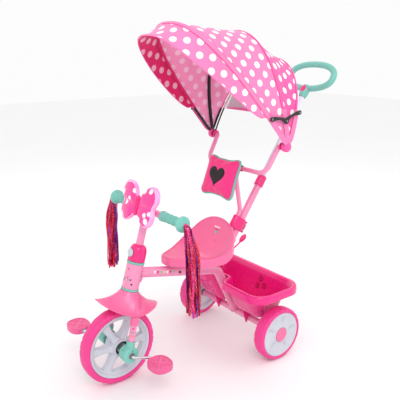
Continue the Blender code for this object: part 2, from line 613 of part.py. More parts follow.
# ------------------------------------------------------------------ seat
def seat():
    """Bucket saddle: a rim curve, the basin inside it and a short skirt outside it."""
    wide = SEAT_WIDTH / 2.0
    half = [(0.0, 0.189, 0.383), (0.24 * wide, 0.198, 0.381), (0.43 * wide, 0.232, 0.378),
            (0.66 * wide, 0.272, 0.374), (0.89 * wide, 0.314, 0.376), (1.0 * wide, 0.350, 0.388),
            (0.96 * wide, 0.380, 0.409), (0.77 * wide, 0.404, 0.440), (0.43 * wide, 0.418, 0.463),
            (0.0, 0.423, 0.471)]
    left = smooth_curve(half, 1)
    rim = left + [Vector((-p.x, p.y, p.z)) for p in reversed(left[1:-1])]
    basin = Vector((0.0, *SEAT_BASIN))
    rows = []
    for level in (0.15, 0.45, 0.72, 0.9, 1.0):
        row = []
        for edge in rim:
            point = basin.lerp(edge, level)
            point.z = basin.z + (edge.z - basin.z) * level ** 2.4
            row.append(point)
        rows.append(row)
    for out, drop in ((0.0035, 0.002), (0.006, 1.0)):
        row = []
        for edge in rim:
            away = Vector((edge.x, edge.y - basin.y, 0.0)).normalized()
            fall = drop if drop == 0.002 else drop * SEAT_SKIRT * (1.0 + 0.9 * max(0.0, away.y))
            row.append(edge + away * out - Vector((0, 0, fall)))
        rows.append(row)
    bm = bmesh.new()
    grid = [[bm.verts.new(point) for point in row] for row in rows]
    for first, second in zip(grid, grid[1:]):
        ring_faces(bm, first, second)
    bm.faces.new(grid[0])
    shell = add_mesh("seat_shell", bm, PINK_PLASTIC, tricycle)
    wall = shell.modifiers.new("wall", "SOLIDIFY")
    wall.thickness = SEAT_WALL
    wall.offset = 1.0
    wall.use_even_offset = False
    start, bend = Vector((0.0, *MAIN_TUBE_FRONT)), Vector((0.0, *MAIN_TUBE_BEND))
    along = (bend - start).normalized()
    slope = math.atan2(along.z, along.y)
    spot = start + along * ((SEAT_BASIN[0] - start.y) / along.y)
    low = MAIN_TUBE_HALF_HEIGHT + FIT_GAP
    box("seat_bracket", (-0.020, -0.030, low), (0.020, 0.030, low + 0.012), SILVER, tricycle, bevel=0.002,
        location=spot, rotation=(slope, 0.0, 0.0))


# ------------------------------------------------------------------ basket
def basket_outline(inset, notch, front, rear, corner):
    """Rounded rectangle whose front has a hollow for the frame tube."""
    wide = BASKET_WIDTH / 2.0 - inset
    half = [(0.0, notch), (0.019, notch), (0.030, (notch + front) / 2.0), (0.046, front)]
    half += arc((wide - corner, front + corner), corner, -math.pi / 2.0, 0.0, 3)
    half += arc((wide - corner, rear - corner), corner, 0.0, math.pi / 2.0, 3)
    half += [(wide * 0.4, rear), (0.0, rear)]
    return half + [(-x, y) for x, y in reversed(half[1:-1])]


def basket():
    top, floor, wall = BASKET_RIM_HEIGHT, BASKET_FLOOR_HEIGHT, BASKET_WALL
    front, rear = BASKET_FRONT, BASKET_REAR

    def notch(height, inward):
        """Just behind the frame tube, which slopes down through the hollow."""
        lean = (WHEELBASE - MAIN_TUBE_BEND[0]) / (MAIN_TUBE_BEND[1] - REAR_TYRE_RADIUS)
        middle = WHEELBASE - lean * (height - REAR_TYRE_RADIUS)
        return middle + MAIN_TUBE_HALF_HEIGHT * math.hypot(1.0, lean) + BASKET_TUBE_GAP + inward

    # height, inset of the sides, inward step of the hollow, front, rear, corner radius
    levels = [
        (floor, 0.070, 0.0, front + 0.072, rear - 0.045, 0.030),
        (floor + 0.058, 0.0510, 0.0, front + 0.040, rear - 0.028, 0.040),
        (top - 0.0075, 0.0150, 0.009, front + 0.016, rear - 0.014, 0.052),
        (top - 0.0075, 0.0055, 0.0025, front + 0.006, rear - 0.005, 0.058),
        (top - 0.0270, 0.0045, 0.0015, front + 0.005, rear - 0.004, 0.058),
        (top - 0.0270, 0.0000, 0.0, front, rear, 0.060),
        (top - 0.0040, 0.0010, 0.0005, front + 0.001, rear - 0.001, 0.060),
        (top, 0.0050, 0.0045, front + 0.005, rear - 0.005, 0.058),
        (top, 0.0120, 0.009, front + 0.012, rear - 0.011, 0.053),
        (top - 0.0060, 0.0180, 0.013, front + 0.020, rear - 0.018, 0.050),
        (floor + 0.058, 0.0510 + wall, wall, front + 0.040 + wall, rear - 0.028 - wall, 0.038),
        (floor + wall, 0.070 + wall, wall, front + 0.072 + wall, rear - 0.045 - wall, 0.028)]
    rings = [[(x, y, z) for x, y in basket_outline(inset, notch(z, step), low, high, corner)]
             for z, inset, step, low, high, corner in levels]
    body = loft("basket", rings, HOT_PINK, tricycle)
    hook = AXLE_TUBE_RADIUS + 0.0010
    axle = (WHEELBASE, REAR_TYRE_RADIUS)
    for word, side in (("left", 1), ("right", -1)):
        outline = [(axle[0] - 0.037, floor + 0.0015), (axle[0] - 0.020, axle[1] - 0.013),
                   (axle[0] - hook - 0.001, axle[1] - 0.013)]
        outline += arc(axle, hook, math.radians(185.0), math.radians(30.0), 6)
        outline += [(axle[0] + 0.030, floor + 0.0015)]
        middle = side * RIB_X
        rib = extruded(f"rib_{word}", outline, middle - 0.0025, middle + 0.0025, HOT_PINK, tricycle)
        combine(body, rib, "UNION")


# ------------------------------------------------------------------ push pole
def hull_of_circles(first, second, steps=8):
    """Outline around two circles on the local Y axis, each (y, radius), the first behind."""
    (y1, r1), (y2, r2) = first, second
    lean = math.asin((r1 - r2) / (y1 - y2))
    points = [(r1 * math.cos(t), y1 + r1 * math.sin(t))
              for t in (-lean + (math.pi + 2 * lean) * i / steps for i in range(steps + 1))]
    points += [(r2 * math.cos(t), y2 + r2 * math.sin(t))
               for t in (math.pi + lean + (math.pi - 2 * lean) * i / steps for i in range(steps + 1))]
    return points


def push_pole():
    bore = POLE_LOWER_RADIUS + FIT_GAP
    turned("pole_socket", [(bore, 0.0), (SOCKET_RADIUS, 0.0), (SOCKET_RADIUS, SOCKET_TOP),
                           (bore, SOCKET_TOP)], PINK_PAINT, pole, segments=20)
    turned("pole_lower_tube", [(POLE_LOWER_BORE, 0.004), (POLE_LOWER_RADIUS, 0.004),
                               (POLE_LOWER_RADIUS, POLE_LOWER_TOP), (POLE_LOWER_BORE, POLE_LOWER_TOP)],
           PINK_PAINT, pole, segments=20)
    slim = POLE_UPPER_RADIUS + FIT_GAP
    top = POLE_LOWER_TOP + FIT_GAP + 0.0004
    turned("pole_collar", [(bore, top - 0.034), (SOCKET_RADIUS, top - 0.034), (SOCKET_RADIUS, top + 0.003),
                           (SOCKET_RADIUS - 0.002, top + 0.007), (slim, top + 0.007), (slim, top),
                           (bore, top)], HOT_PINK, pole, segments=20)
    slider = pivot("pole_slide", (0.0, 0.0, 0.0), pole)
    turned("pole_upper_tube", [(0.0, POLE_LOWER_TOP - POLE_INSERTION),
                               (POLE_UPPER_RADIUS, POLE_LOWER_TOP - POLE_INSERTION),
                               (POLE_UPPER_RADIUS, POLE_UPPER_TOP), (0.0, POLE_UPPER_TOP)],
           SILVER, slider, segments=16)
    low = POLE_UPPER_TOP - 0.012
    knuckle = turned("push_handle", [(slim, low), (0.0135, low), (0.0165, low + 0.014),
                                     (0.0175, low + 0.032), (0.0140, low + 0.048), (0.0, low + 0.052),
                                     (0.0, POLE_UPPER_TOP + FIT_GAP), (slim, POLE_UPPER_TOP + FIT_GAP)],
                     MINT, slider, segments=20)
    middle = low + 0.038 + HANDLE_HEIGHT / 2.0
    ring = []
    for i in range(24):
        t = 2.0 * math.pi * i / 24
        across = HANDLE_HALF_WIDTH * math.copysign(abs(math.cos(t)) ** 0.87, math.cos(t))
        rise = HANDLE_HEIGHT / 2.0 * math.copysign(abs(math.sin(t)) ** 0.87, math.sin(t))
        height = rise + HANDLE_HEIGHT / 2.0
        ring.append((across, -math.sin(-HANDLE_LEAN) * height,
                     middle - HANDLE_HEIGHT / 2.0 + math.cos(HANDLE_LEAN) * height))
    loop = tube("handle_loop", ring, HANDLE_TUBE_RADIUS, MINT, slider, sides=10, closed=True)
    combine(knuckle, loop, "UNION")


def clamp():
    """Double clamp that ties the canopy's stem to the pole, tightened by two screws behind."""
    low, high = CLAMP_BOTTOM, CLAMP_BOTTOM + CLAMP_HEIGHT
    outline = hull_of_circles((0.0, 0.0178), (-STEM_OFFSET, 0.0130))
    body = extruded("canopy_clamp", outline, low, high, HOT_PINK, pole, axis="Z")
    ear = box("clamp_ear", (-0.0095, 0.010, low + 0.001), (0.0095, 0.0275, high - 0.001), HOT_PINK, pole)
    combine(body, ear, "UNION")
    bores = (("pole_bore", 0.0, POLE_LOWER_RADIUS), ("stem_bore", -STEM_OFFSET, CANOPY_YOKE_RADIUS))
    for name, y, bar in bores:
        radius = bar + FIT_GAP
        cut = turned(name, [(0.0, low - 0.01), (radius, low - 0.01), (radius, high + 0.01),
                            (0.0, high + 0.01)], HOT_PINK, pole, segments=20, location=(0.0, y, 0.0))
        combine(body, cut)
    for word, height in (("upper", high - 0.011), ("lower", low + 0.011)):
        spot = (0.0, 0.0215, height)
        hole = turned(f"screw_hole_{word}", [(0.0, -0.02), (0.0022, -0.02), (0.0022, 0.02), (0.0, 0.02)],
                      HOT_PINK, pole, axis="X", segments=10, location=spot)
        combine(body, hole)
        face = 0.0095 + FIT_GAP
        turned(f"clamp_screw_{word}", [(0.0, -0.0090), (0.0018, -0.0090), (0.0018, face), (0.0045, face),
                                       (0.0040, face + 0.0028), (0.0, face + 0.0032)], CHROME, pole,
               axis="X", segments=10, location=spot)


def hand_screw():
    """Clamping screw at the socket, with a leaf-shaped paddle; it turns about its own shank."""
    height = 0.069
    knob = pivot("hand_screw_axis", (0.0, 0.0, height), pole)
    face = SOCKET_RADIUS + FIT_GAP
    body = turned("hand_screw", [(0.0, face), (0.0055, face), (0.0055, face + 0.004), (0.0035, face + 0.008),
                                 (0.0030, face + 0.018), (0.0, face + 0.019)], HOT_PINK, knob, axis="Y",
                  segments=12)
    start = face + 0.013
    arm = tube("paddle_arm", [(0.0, start, 0.0), (0.0, start + 0.004, 0.012), (0.0, start + 0.012, 0.026),
                              (0.0, start + 0.017, 0.040)], 0.0026, HOT_PINK, knob, sides=8)
    leaf = [(-0.000, 0.034), (0.008, 0.040), (0.0125, 0.050), (0.0115, 0.060), (0.005, 0.068), (0.0, 0.072)]
    outline = leaf + [(-x, z) for x, z in reversed(leaf[1:-1])]
    rings = []
    for shift, scale in ((-0.0028, 0.8), (-0.0015, 1.0), (0.0015, 1.0), (0.0028, 0.8)):
        rings.append([(x * scale, start + 0.0155 + shift + (z - 0.034) * 0.22, 0.053 + (z - 0.053) * scale)
                      for x, z in outline])
    paddle = loft("paddle_leaf", rings, HOT_PINK, knob)
    combine(body, arm, "UNION")
    combine(body, paddle, "UNION")


# ------------------------------------------------------------------ canopy
def arch_point(setting, half_width, t, lift=0.0):
    """Point on a bow's arch through the two tips; t runs 0 to pi from the left tip to the right."""
    angle, height, curve = setting
    x = half_width * math.copysign(abs(math.cos(t)) ** (2.0 / curve), math.cos(t))
    rise = (height + lift) * abs(math.sin(t)) ** (2.0 / curve)
    return Vector((x, -rise * math.cos(angle), rise * math.sin(angle)))


def arch_steps(setting, rise, steps, lift=0.0):
    """Even steps of t between the two places where the arch reaches the given rise."""
    start = math.asin((rise / (setting[1] + lift)) ** (setting[2] / 2.0))
    return [start + (math.pi - 2.0 * start) * k / steps for k in range(steps + 1)]


def bow(name, setting, layer, parent):
    """A sprung bow with an eye at each end, stacked along the pivot pins."""
    half_width = YOKE_TIP_X + 0.0185 + layer * BOW_PITCH
    path = [arch_point(setting, half_width, t) for t in arch_steps(setting, 0.009, 22)]
    rod = tube(name, path, BOW_RADIUS, BLACK, parent, sides=6)
    for word, side in (("left", 1), ("right", -1)):
        low, high = side * (half_width - 0.0024), side * (half_width + 0.0024)
        eye = turned(f"{name}_eye_{word}", [(0.0042, low), (0.0105, low), (0.0105, high), (0.0042, high)],
                     BLACK, parent, axis="X", segments=10)
        combine(rod, eye, "UNION")
    return rod


def canopy_panel(name, first, second, dip, parent, columns=3):
    """Cloth drawn straight from bow to bow, tip to tip, dipping a little between them."""
    lift = BOW_RADIUS + CANOPY_CLOTH + 0.001
    steps = 20
    edges = [[arch_point(setting, CANOPY_HALF_WIDTH, t, lift)
              for t in arch_steps(setting, 0.014, steps, lift)] for setting in (first, second)]
    rows = []
    for i in range(columns + 1):
        share = i / columns
        row = []
        for near, far in zip(*edges):
            point = near.lerp(far, share)
            rise = math.hypot(point.y, point.z)
            trim = 0.0011 / rise
            angle = min(max(math.atan2(point.z, -point.y), first[0] + trim), second[0] - trim)
            rise -= dip * math.sin(math.pi * share) * min(1.0, rise / 0.2)
            row.append((point.x, -rise * math.cos(angle), rise * math.sin(angle)))
        rows.append(row)
    sheet(name, rows, CANOPY_CLOTH, CLOTH, parent, offset=0.0)


def visor(parent):
    """Cloth brim ahead of the front bow, widest over the top."""
    angle = FRONT_BOW[0]
    lift = BOW_RADIUS + CANOPY_CLOTH + 0.001
    ahead = Vector((0.0, -math.sin(angle), -math.cos(angle)))
    upward = Vector((0.0, -math.cos(angle), math.sin(angle)))
    steps = 20
    rows = []
    for level in (0.0, 0.5, 1.0):
        row = []
        for k, t in enumerate(arch_steps(FRONT_BOW, 0.140, steps, lift)):
            point = arch_point(FRONT_BOW, CANOPY_HALF_WIDTH, t, lift)
            swell = math.sin(math.pi * k / steps)
            reach = VISOR_REACH * swell ** 0.42 + 0.004
            flare = VISOR_FLARE * swell ** 4
            point.x *= 1.0 - 0.06 * level * swell
            row.append(point + ahead * (reach * level + 0.0008) + upward * flare * level ** 2)
        rows.append(row)
    sheet("canopy_visor", rows, CANOPY_CLOTH, CLOTH, parent, offset=0.0)


def back_wall():
    """Cloth that closes the rear bow's arch, from a straight hem up."""
    angle = REAR_BOW[0]
    steps = 14
    half_width = YOKE_TIP_X + 0.0185 - 0.006
    rows = []
    for level in (0.0, 0.25, 0.5, 0.75, 1.0):
        row = []
        for k, t in enumerate(arch_steps(REAR_BOW, BACK_WALL_HEM + 0.004, steps, -0.006)):
            edge = arch_point((0.0, *REAR_BOW[1:]), half_width, t, -0.006)
            rise = BACK_WALL_HEM + (abs(edge.y) - BACK_WALL_HEM) * level
            bulge = 0.018 * math.sin(math.pi * level) * math.sin(math.pi * k / steps)
            behind = BOW_RADIUS + CANOPY_CLOTH + bulge
            row.append((edge.x, -rise * math.cos(angle) + behind * math.sin(angle),
                        rise * math.sin(angle) + behind * math.cos(angle)))
        rows.append(row)
    sheet("canopy_back_wall", rows, CANOPY_CLOTH, CLOTH, canopy, offset=0.0)


def canopy_frame():
    crossbar = Vector((0.0, *CROSSBAR))
    tip = Vector((YOKE_TIP_X, *CANOPY_PIVOT))
    corner = Vector((YOKE_CORNER_X, *CROSSBAR))
    corners = [tip, corner, (-corner.x, corner.y, corner.z), (-tip.x, tip.y, tip.z)]
    tube("canopy_yoke", rounded_path(corners, [0.036, 0.036], steps=4), CANOPY_YOKE_RADIUS, PINK_PAINT,
         tricycle, sides=10)
    turn = Matrix.Rotation(-POLE_TILT, 3, "X")
    base = Vector((0.0, *POLE_BASE))
    foot = base + turn @ Vector((0.0, -STEM_OFFSET, CLAMP_BOTTOM - 0.003))
    knee = base + turn @ Vector((0.0, -STEM_OFFSET, CLAMP_BOTTOM + CLAMP_HEIGHT + 0.022))
    top = crossbar - Vector((0.0, 0.0, CANOPY_YOKE_RADIUS + FIT_GAP))
    tube("canopy_stem", rounded_path([foot, knee, top], [0.030]), CANOPY_YOKE_RADIUS, PINK_PAINT, tricycle,
         sides=10)
    for word, side in (("left", 1), ("right", -1)):
        low = YOKE_TIP_X + CANOPY_YOKE_RADIUS + FIT_GAP
        high = YOKE_TIP_X + 0.0185 + 2.0 * BOW_PITCH + 0.003
        profile = [(0.0, low), (0.0130, low), (0.0130, low + 0.006), (0.0036, low + 0.006), (0.0036, high),
                   (0.0, high)]
        turned(f"canopy_pin_{word}", [(r, side * x) for r, x in profile], HOT_PINK, canopy, axis="X",
               segments=16)


def spreader(word, side):
    """Two short links outside the cloth that lock the front bow away from the rear bow."""
    def on_bow(setting, rise):
        return Vector((0.0, -rise * math.cos(setting[0]), rise * math.sin(setting[0])))
    front, rear = on_bow(FRONT_BOW, FRONT_RIVET), on_bow(REAR_BOW, REAR_RIVET)
    middle, across = (front + rear) / 2.0, rear - front
    drop = math.sqrt(SPREADER_LINK ** 2 - (across.length / 2.0) ** 2)
    elbow = middle + Vector((0.0, across.z, -across.y)).normalized() * drop
    layer = CANOPY_HALF_WIDTH + 0.0035
    for name, start, parent, low in ((f"spreader_rear_{word}", rear, canopy, layer),
                                     (f"spreader_front_{word}", front, front_bow_axis,
                                      layer + SPREADER_THICKNESS + 0.0006)):
        joint = pivot(name + "_rivet", start, parent)
        along = elbow - start
        length = along.length
        along.normalize()
        aside = Vector((0.0, -along.z, along.y))
        if aside.dot(start + elbow) < 0.0:
            aside = -aside
        outline = []
        count = 5
        for i in range(count + 1):
            share = i / count
            curve = 0.005 * math.sin(math.pi * share)
            outline.append((along * length * share + aside * (0.0048 + curve)))
        turn = math.atan2(aside.z, aside.y)
        sweep = -1.0 if aside.cross(along).x > 0 else 1.0
        for i in range(1, 4):
            angle = turn - sweep * math.pi * i / 4
            outline.append(along * length + Vector((0, math.cos(angle), math.sin(angle))) * 0.0048)
        for i in range(count + 1):
            share = 1.0 - i / count
            curve = 0.005 * math.sin(math.pi * share)
            outline.append((along * length * share + aside * (-0.0048 + curve)))
        for i in range(1, 4):
            angle = turn + math.pi - sweep * math.pi * i / 4
            outline.append(Vector((0, math.cos(angle), math.sin(angle))) * 0.0048)
        span = sorted((side * low, side * (low + SPREADER_THICKNESS)))
        extruded(name, [(p.y, p.z) for p in outline], span[0], span[1], BLACK, joint)


def cushion():
    width, depth, height = CUSHION_SIZE
    rings = []
    for level, scale, edge in ((-0.5, 0.93, 0.15), (-0.35, 1.0, 0.12), (0.35, 1.0, 0.12), (0.5, 0.93, 0.15)):
        ring = []
        for i in range(20):
            t = 2.0 * math.pi * i / 20
            x = math.copysign(abs(math.cos(t)) ** 0.28, math.cos(t))
            z = math.copysign(abs(math.sin(t)) ** 0.28, math.sin(t))
            pull = 1.0 - edge * (1.0 - abs(math.sin(2.0 * t))) * 0.3
            ring.append((x * width / 2.0 * scale * pull, level * depth, z * height / 2.0 * scale * pull))
        rings.append(ring)
    loft("head_cushion", rings, CUSHION_CLOTH, tricycle, location=(0.0, *CUSHION_CENTRE),
         rotation=(CUSHION_TILT, 0.0, 0.0))


front_wheel()
pedal("pedal_left", 1)
pedal("pedal_right", -1)
rear_axle()
for side_word, side_sign in (("left", 1), ("right", -1)):
    rear_wheel(side_word, side_sign)
    hub_cover(side_word, side_sign)
    grip(side_word, side_sign)
main_tube()
head_set()
fork()
fender()
stem()
bow_light()
seat()
basket()
push_pole()
clamp()
hand_screw()
canopy_frame()
middle_bow_axis = pivot("middle_bow_axis", (0.0, 0.0, 0.0), canopy)
front_bow_axis = pivot("front_bow_axis", (0.0, 0.0, 0.0), canopy)
bow("rear_bow", REAR_BOW, 0, canopy)
bow("middle_bow", MIDDLE_BOW, 1, middle_bow_axis)
bow("front_bow", FRONT_BOW, 2, front_bow_axis)
canopy_panel("canopy_front_panel", FRONT_BOW, MIDDLE_BOW, FRONT_PANEL_DIP, front_bow_axis)
canopy_panel("canopy_rear_panel", MIDDLE_BOW, REAR_BOW, REAR_PANEL_DIP, middle_bow_axis)
visor(front_bow_axis)
back_wall()
spreader("left", 1)
spreader("right", -1)
cushion()


# ------------------------------------------------------------------ origin
def centre_on_footprint():
    """Move the whole model so that the middle of its box, on the ground, is the origin."""
    bpy.context.view_layer.update()
    depsgraph = bpy.context.evaluated_depsgraph_get()
    corners = []
    for obj in bpy.data.objects:
        if obj.type == "MESH" and not obj.hide_render:
            solid = obj.evaluated_get(depsgraph)
            corners += [solid.matrix_world @ vert.co for vert in solid.data.vertices]
    ys = [corner.y for corner in corners]
    tricycle.location.y = -(min(ys) + max(ys)) / 2.0
    tricycle.location.z = -min(corner.z for corner in corners)
    bpy.context.view_layer.update()


centre_on_footprint()
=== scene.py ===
"""Looks for the children's tricycle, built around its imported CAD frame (metres, +Z up, front -Y)."""
import math
import random

import bmesh
import bpy
from mathutils import Matrix, Vector, noise
from mathutils.bvhtree import BVHTree


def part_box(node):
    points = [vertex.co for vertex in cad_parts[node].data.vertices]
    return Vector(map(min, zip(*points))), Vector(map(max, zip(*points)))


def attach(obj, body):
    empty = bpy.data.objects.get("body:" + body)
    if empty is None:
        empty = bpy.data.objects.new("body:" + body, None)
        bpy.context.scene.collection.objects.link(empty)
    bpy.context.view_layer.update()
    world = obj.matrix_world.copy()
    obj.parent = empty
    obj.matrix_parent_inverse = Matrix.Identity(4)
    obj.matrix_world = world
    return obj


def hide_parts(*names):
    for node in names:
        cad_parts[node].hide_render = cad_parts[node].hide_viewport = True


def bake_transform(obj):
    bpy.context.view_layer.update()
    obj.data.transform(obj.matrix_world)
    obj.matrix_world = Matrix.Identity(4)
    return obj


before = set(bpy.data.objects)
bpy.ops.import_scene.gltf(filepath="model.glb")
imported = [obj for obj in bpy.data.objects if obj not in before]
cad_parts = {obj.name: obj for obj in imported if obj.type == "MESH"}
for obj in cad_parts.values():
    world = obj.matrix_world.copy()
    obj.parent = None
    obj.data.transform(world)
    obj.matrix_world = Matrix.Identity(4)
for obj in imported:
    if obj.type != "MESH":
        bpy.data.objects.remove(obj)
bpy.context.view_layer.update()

# ------------------------------------------------------------------ sizes, as in the CAD
FRONT_R, FRONT_RIM_R, FRONT_W = 0.127, 0.1065, 0.046
REAR_R, REAR_RIM_R, REAR_W = 0.093, 0.0785, 0.045
WHEELBASE = 0.504
OVERALL_WIDTH = 0.477
HEAD_TILT = math.radians(16.2)
POLE_TILT = math.radians(34.7)
HANDLEBAR_HEIGHT = 0.447
HANDLEBAR_LENGTH = 0.394
GRIP_LENGTH = 0.117
CANOPY_HALF_WIDTH = 0.194
YOKE_TIP_X = 0.158
FRONT_BOW = (math.radians(49.5), 0.496, 2.6)
MIDDLE_BOW = (math.radians(80.0), 0.362, 2.4)
REAR_BOW = (math.radians(112.0), 0.290, 2.2)
CLOTH_WALL = 0.0012
BOW_LIFT = 0.0054
SEAT_BASIN = (0.325, 0.350)
GAP = 0.0004
FORK_LEG_X, FORK_TOP = 0.068, 0.148
CRANK_LENGTH, CRANK_ANGLE, PEDAL_X = 0.066, math.radians(-19.5), 0.150
HEAD_RADIUS, HEAD_BORE, HEAD_LOW, HEAD_HIGH = 0.027, 0.0175, 0.192, 0.272
RING_RADIUS, RING_HEIGHT = 0.0285, 0.007
HANDLEBAR_RADIUS = 0.011
AXLE_TUBE_RADIUS = 0.0125
MAIN_TUBE_WIDE, MAIN_TUBE_HIGH = 0.013, 0.0175
BASKET_WIDTH = OVERALL_WIDTH - 0.012
BASKET_FRONT, BASKET_REAR = WHEELBASE - 0.109, WHEELBASE + 0.108
SOCKET_RADIUS, SOCKET_BORE = 0.0168, 0.0134
POLE_FOOT_Y, POLE_FOOT_Z, POLE_TOP = 0.421, 0.300, 0.700
TIP_Y, TIP_Z = 0.540, 0.735
YOKE_Y, YOKE_Z = 0.487, 0.645
BOW_REACH = YOKE_TIP_X + 0.0185
PRINT_LIFT = 0.00035

low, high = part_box("front_tyre")
Y0 = (low.y + high.y) / 2.0
WORLD = Matrix.Translation((0.0, Y0, 0.0))
AXLE = Matrix.Translation((0.0, Y0, FRONT_R))
STEER = AXLE @ Matrix.Rotation(-HEAD_TILT, 4, "X")
REAR = Matrix.Translation((0.0, Y0 + WHEELBASE, REAR_R))
POLE = Matrix.Translation((0.0, Y0 + POLE_FOOT_Y, POLE_FOOT_Z)) @ Matrix.Rotation(-POLE_TILT, 4, "X")
TIPS = Matrix.Translation((0.0, Y0 + TIP_Y, TIP_Z))
CRANK = Vector((0.0, math.cos(CRANK_ANGLE), math.sin(CRANK_ANGLE))) * CRANK_LENGTH
ALONG_X = Matrix.Rotation(math.pi / 2.0, 4, "Y")
ALONG_Y = Matrix.Rotation(-math.pi / 2.0, 4, "X")


# ------------------------------------------------------------------ materials
def rgb(red, green, blue):
    """Linear colour from 0-255 display values."""
    values = []
    for value in (red, green, blue):
        value /= 255.0
        values.append(value / 12.92 if value <= 0.04045 else ((value + 0.055) / 1.055) ** 2.4)
    return (*values, 1.0)


class Shader:
    """A node material with a Principled shader, built step by step."""

    def __init__(self, name, roughness, metallic=0.0, **sockets):
        self.mat = bpy.data.materials.new(name)
        self.mat.use_nodes = True
        self.nodes = self.mat.node_tree.nodes
        self.links = self.mat.node_tree.links
        self.shader = self.nodes["Principled BSDF"]
        self.shader.inputs["Roughness"].default_value = roughness
        self.shader.inputs["Metallic"].default_value = metallic
        for socket, value in sockets.items():
            self.shader.inputs[socket.replace("_", " ")].default_value = value
        self.place = self.nodes.new("ShaderNodeTexCoord")

    def node(self, kind, **settings):
        made = self.nodes.new(kind)
        for key, value in settings.items():
            setattr(made, key, value)
        return made

    def math(self, operation, first, second):
        made = self.node("ShaderNodeMath", operation=operation)
        for socket, value in zip(made.inputs, (first, second)):
            if isinstance(value, float):
                socket.default_value = value
            else:
                self.links.new(value, socket)
        return made.outputs[0]

    def noise(self, scale, detail=2.0):
        made = self.node("ShaderNodeTexNoise")
        made.inputs["Scale"].default_value = scale
        made.inputs["Detail"].default_value = detail
        self.links.new(self.place.outputs["Object"], made.inputs["Vector"])
        return made.outputs["Fac"]

    def ramp(self, factor, stops):
        made = self.node("ShaderNodeValToRGB")
        ramp = made.color_ramp
        while len(ramp.elements) < len(stops):
            ramp.elements.new(0.5)
        for element, (position, colour) in zip(ramp.elements, stops):
            element.position = position
            element.color = colour
        self.links.new(factor, made.inputs["Fac"])
        return made.outputs["Color"]

    def mix(self, factor, first, second):
        made = self.node("ShaderNodeMix", data_type="RGBA")
        self.links.new(factor, made.inputs["Factor"])
        for socket, value in ((made.inputs["A"], first), (made.inputs["B"], second)):
            if isinstance(value, tuple):
                socket.default_value = value
            else:
                self.links.new(value, socket)
        return made.outputs["Result"]

    def colour(self, output):
        self.links.new(output, self.shader.inputs["Base Color"])
        return self

    def rough(self, scale, low, high):
        made = self.node("ShaderNodeMapRange")
        made.inputs["To Min"].default_value = low
        made.inputs["To Max"].default_value = high
        self.links.new(self.noise(scale), made.inputs["Value"])
        self.links.new(made.outputs["Result"], self.shader.inputs["Roughness"])
        return self

    def bump(self, height, distance, strength=1.0):
        made = self.node("ShaderNodeBump")
        made.inputs["Strength"].default_value = strength
        made.inputs["Distance"].default_value = distance
        self.links.new(height, made.inputs["Height"])
        self.links.new(made.outputs["Normal"], self.shader.inputs["Normal"])
        return self


def shade(colour, factor):
    return (colour[0] * factor, colour[1] * factor, colour[2] * factor, 1.0)


def moulded(name, colour, roughness, grain=900.0, grain_depth=0.00004, **sockets):
    """Moulded plastic or rubber: slight colour drift, uneven polish and a fine skin texture."""
    made = Shader(name, roughness, **sockets)
    drift = made.ramp(made.noise(9.0), [(0.3, shade(colour, 0.94)), (0.7, shade(colour, 1.04))])
    made.colour(drift).rough(40.0, roughness * 0.8, roughness * 1.2)
    return made.bump(made.noise(grain), grain_depth).mat


def painted(name, colour, roughness=0.28):
    """Powder-coated steel: soft orange peel under a clear gloss."""
    made = Shader(name, roughness, Coat_Weight=0.5, Coat_Roughness=0.12)
    drift = made.ramp(made.noise(14.0), [(0.3, shade(colour, 0.96)), (0.7, shade(colour, 1.03))])
    made.colour(drift).rough(60.0, roughness * 0.8, roughness * 1.3)
    return made.bump(made.noise(420.0), 0.00005).mat


def metal(name, colour, roughness):
    made = Shader(name, roughness, metallic=1.0)
    drift = made.ramp(made.noise(30.0), [(0.3, shade(colour, 0.85)), (0.7, colour)])
    made.colour(drift).rough(120.0, roughness * 0.6, roughness * 1.6)
    return made.bump(made.noise(700.0), 0.00002).mat


DOT_PITCH = 0.040
DOT_RADIUS = 0.0107


def cloth(name, colour, dot=None, blur=0.0008, weave=0.0011, sheen=0.25):
    """Woven polyester from UVs in metres; with dot, a square grid of round dots on the bias."""
    made = Shader(name, 0.82, Sheen_Weight=sheen, Sheen_Roughness=0.5, Specular_IOR_Level=0.25)
    uv = made.place.outputs["UV"]
    shades = made.ramp(made.noise(7.0, 3.0), [(0.25, shade(colour, 0.90)), (0.75, shade(colour, 1.07))])
    if dot:
        turn = made.node("ShaderNodeMapping")
        turn.inputs["Rotation"].default_value = (0.0, 0.0, math.radians(45.0))
        turn.inputs["Scale"].default_value = (1.0 / DOT_PITCH, 1.0 / DOT_PITCH, 0.0)
        made.links.new(uv, turn.inputs["Vector"])
        cell = made.node("ShaderNodeVectorMath", operation="FRACTION")
        made.links.new(turn.outputs["Vector"], cell.inputs[0])
        offset = made.node("ShaderNodeVectorMath", operation="SUBTRACT")
        offset.inputs[1].default_value = (0.5, 0.5, 0.0)
        made.links.new(cell.outputs["Vector"], offset.inputs[0])
        reach = made.node("ShaderNodeVectorMath", operation="LENGTH")
        made.links.new(offset.outputs["Vector"], reach.inputs[0])
        edge = made.node("ShaderNodeMapRange", interpolation_type="SMOOTHSTEP")
        edge.inputs["From Min"].default_value = (DOT_RADIUS - blur) / DOT_PITCH
        edge.inputs["From Max"].default_value = (DOT_RADIUS + blur) / DOT_PITCH
        edge.inputs["To Min"].default_value = 1.0
        edge.inputs["To Max"].default_value = 0.0
        made.links.new(reach.outputs["Value"], edge.inputs["Value"])
        shades = made.mix(edge.outputs["Result"], shades, dot)
    made.colour(shades)
    threads = []
    for axis in ("X", "Y"):
        wave = made.node("ShaderNodeTexWave", bands_direction=axis)
        wave.inputs["Scale"].default_value = 1.0 / (weave * 20.0 / math.pi * 2.0)
        made.links.new(uv, wave.inputs["Vector"])
        threads.append(wave.outputs["Fac"])
    woven = made.math("ADD", made.math("MULTIPLY", threads[0], threads[1]), made.noise(160.0))
    return made.bump(woven, 0.0002, 0.5).mat


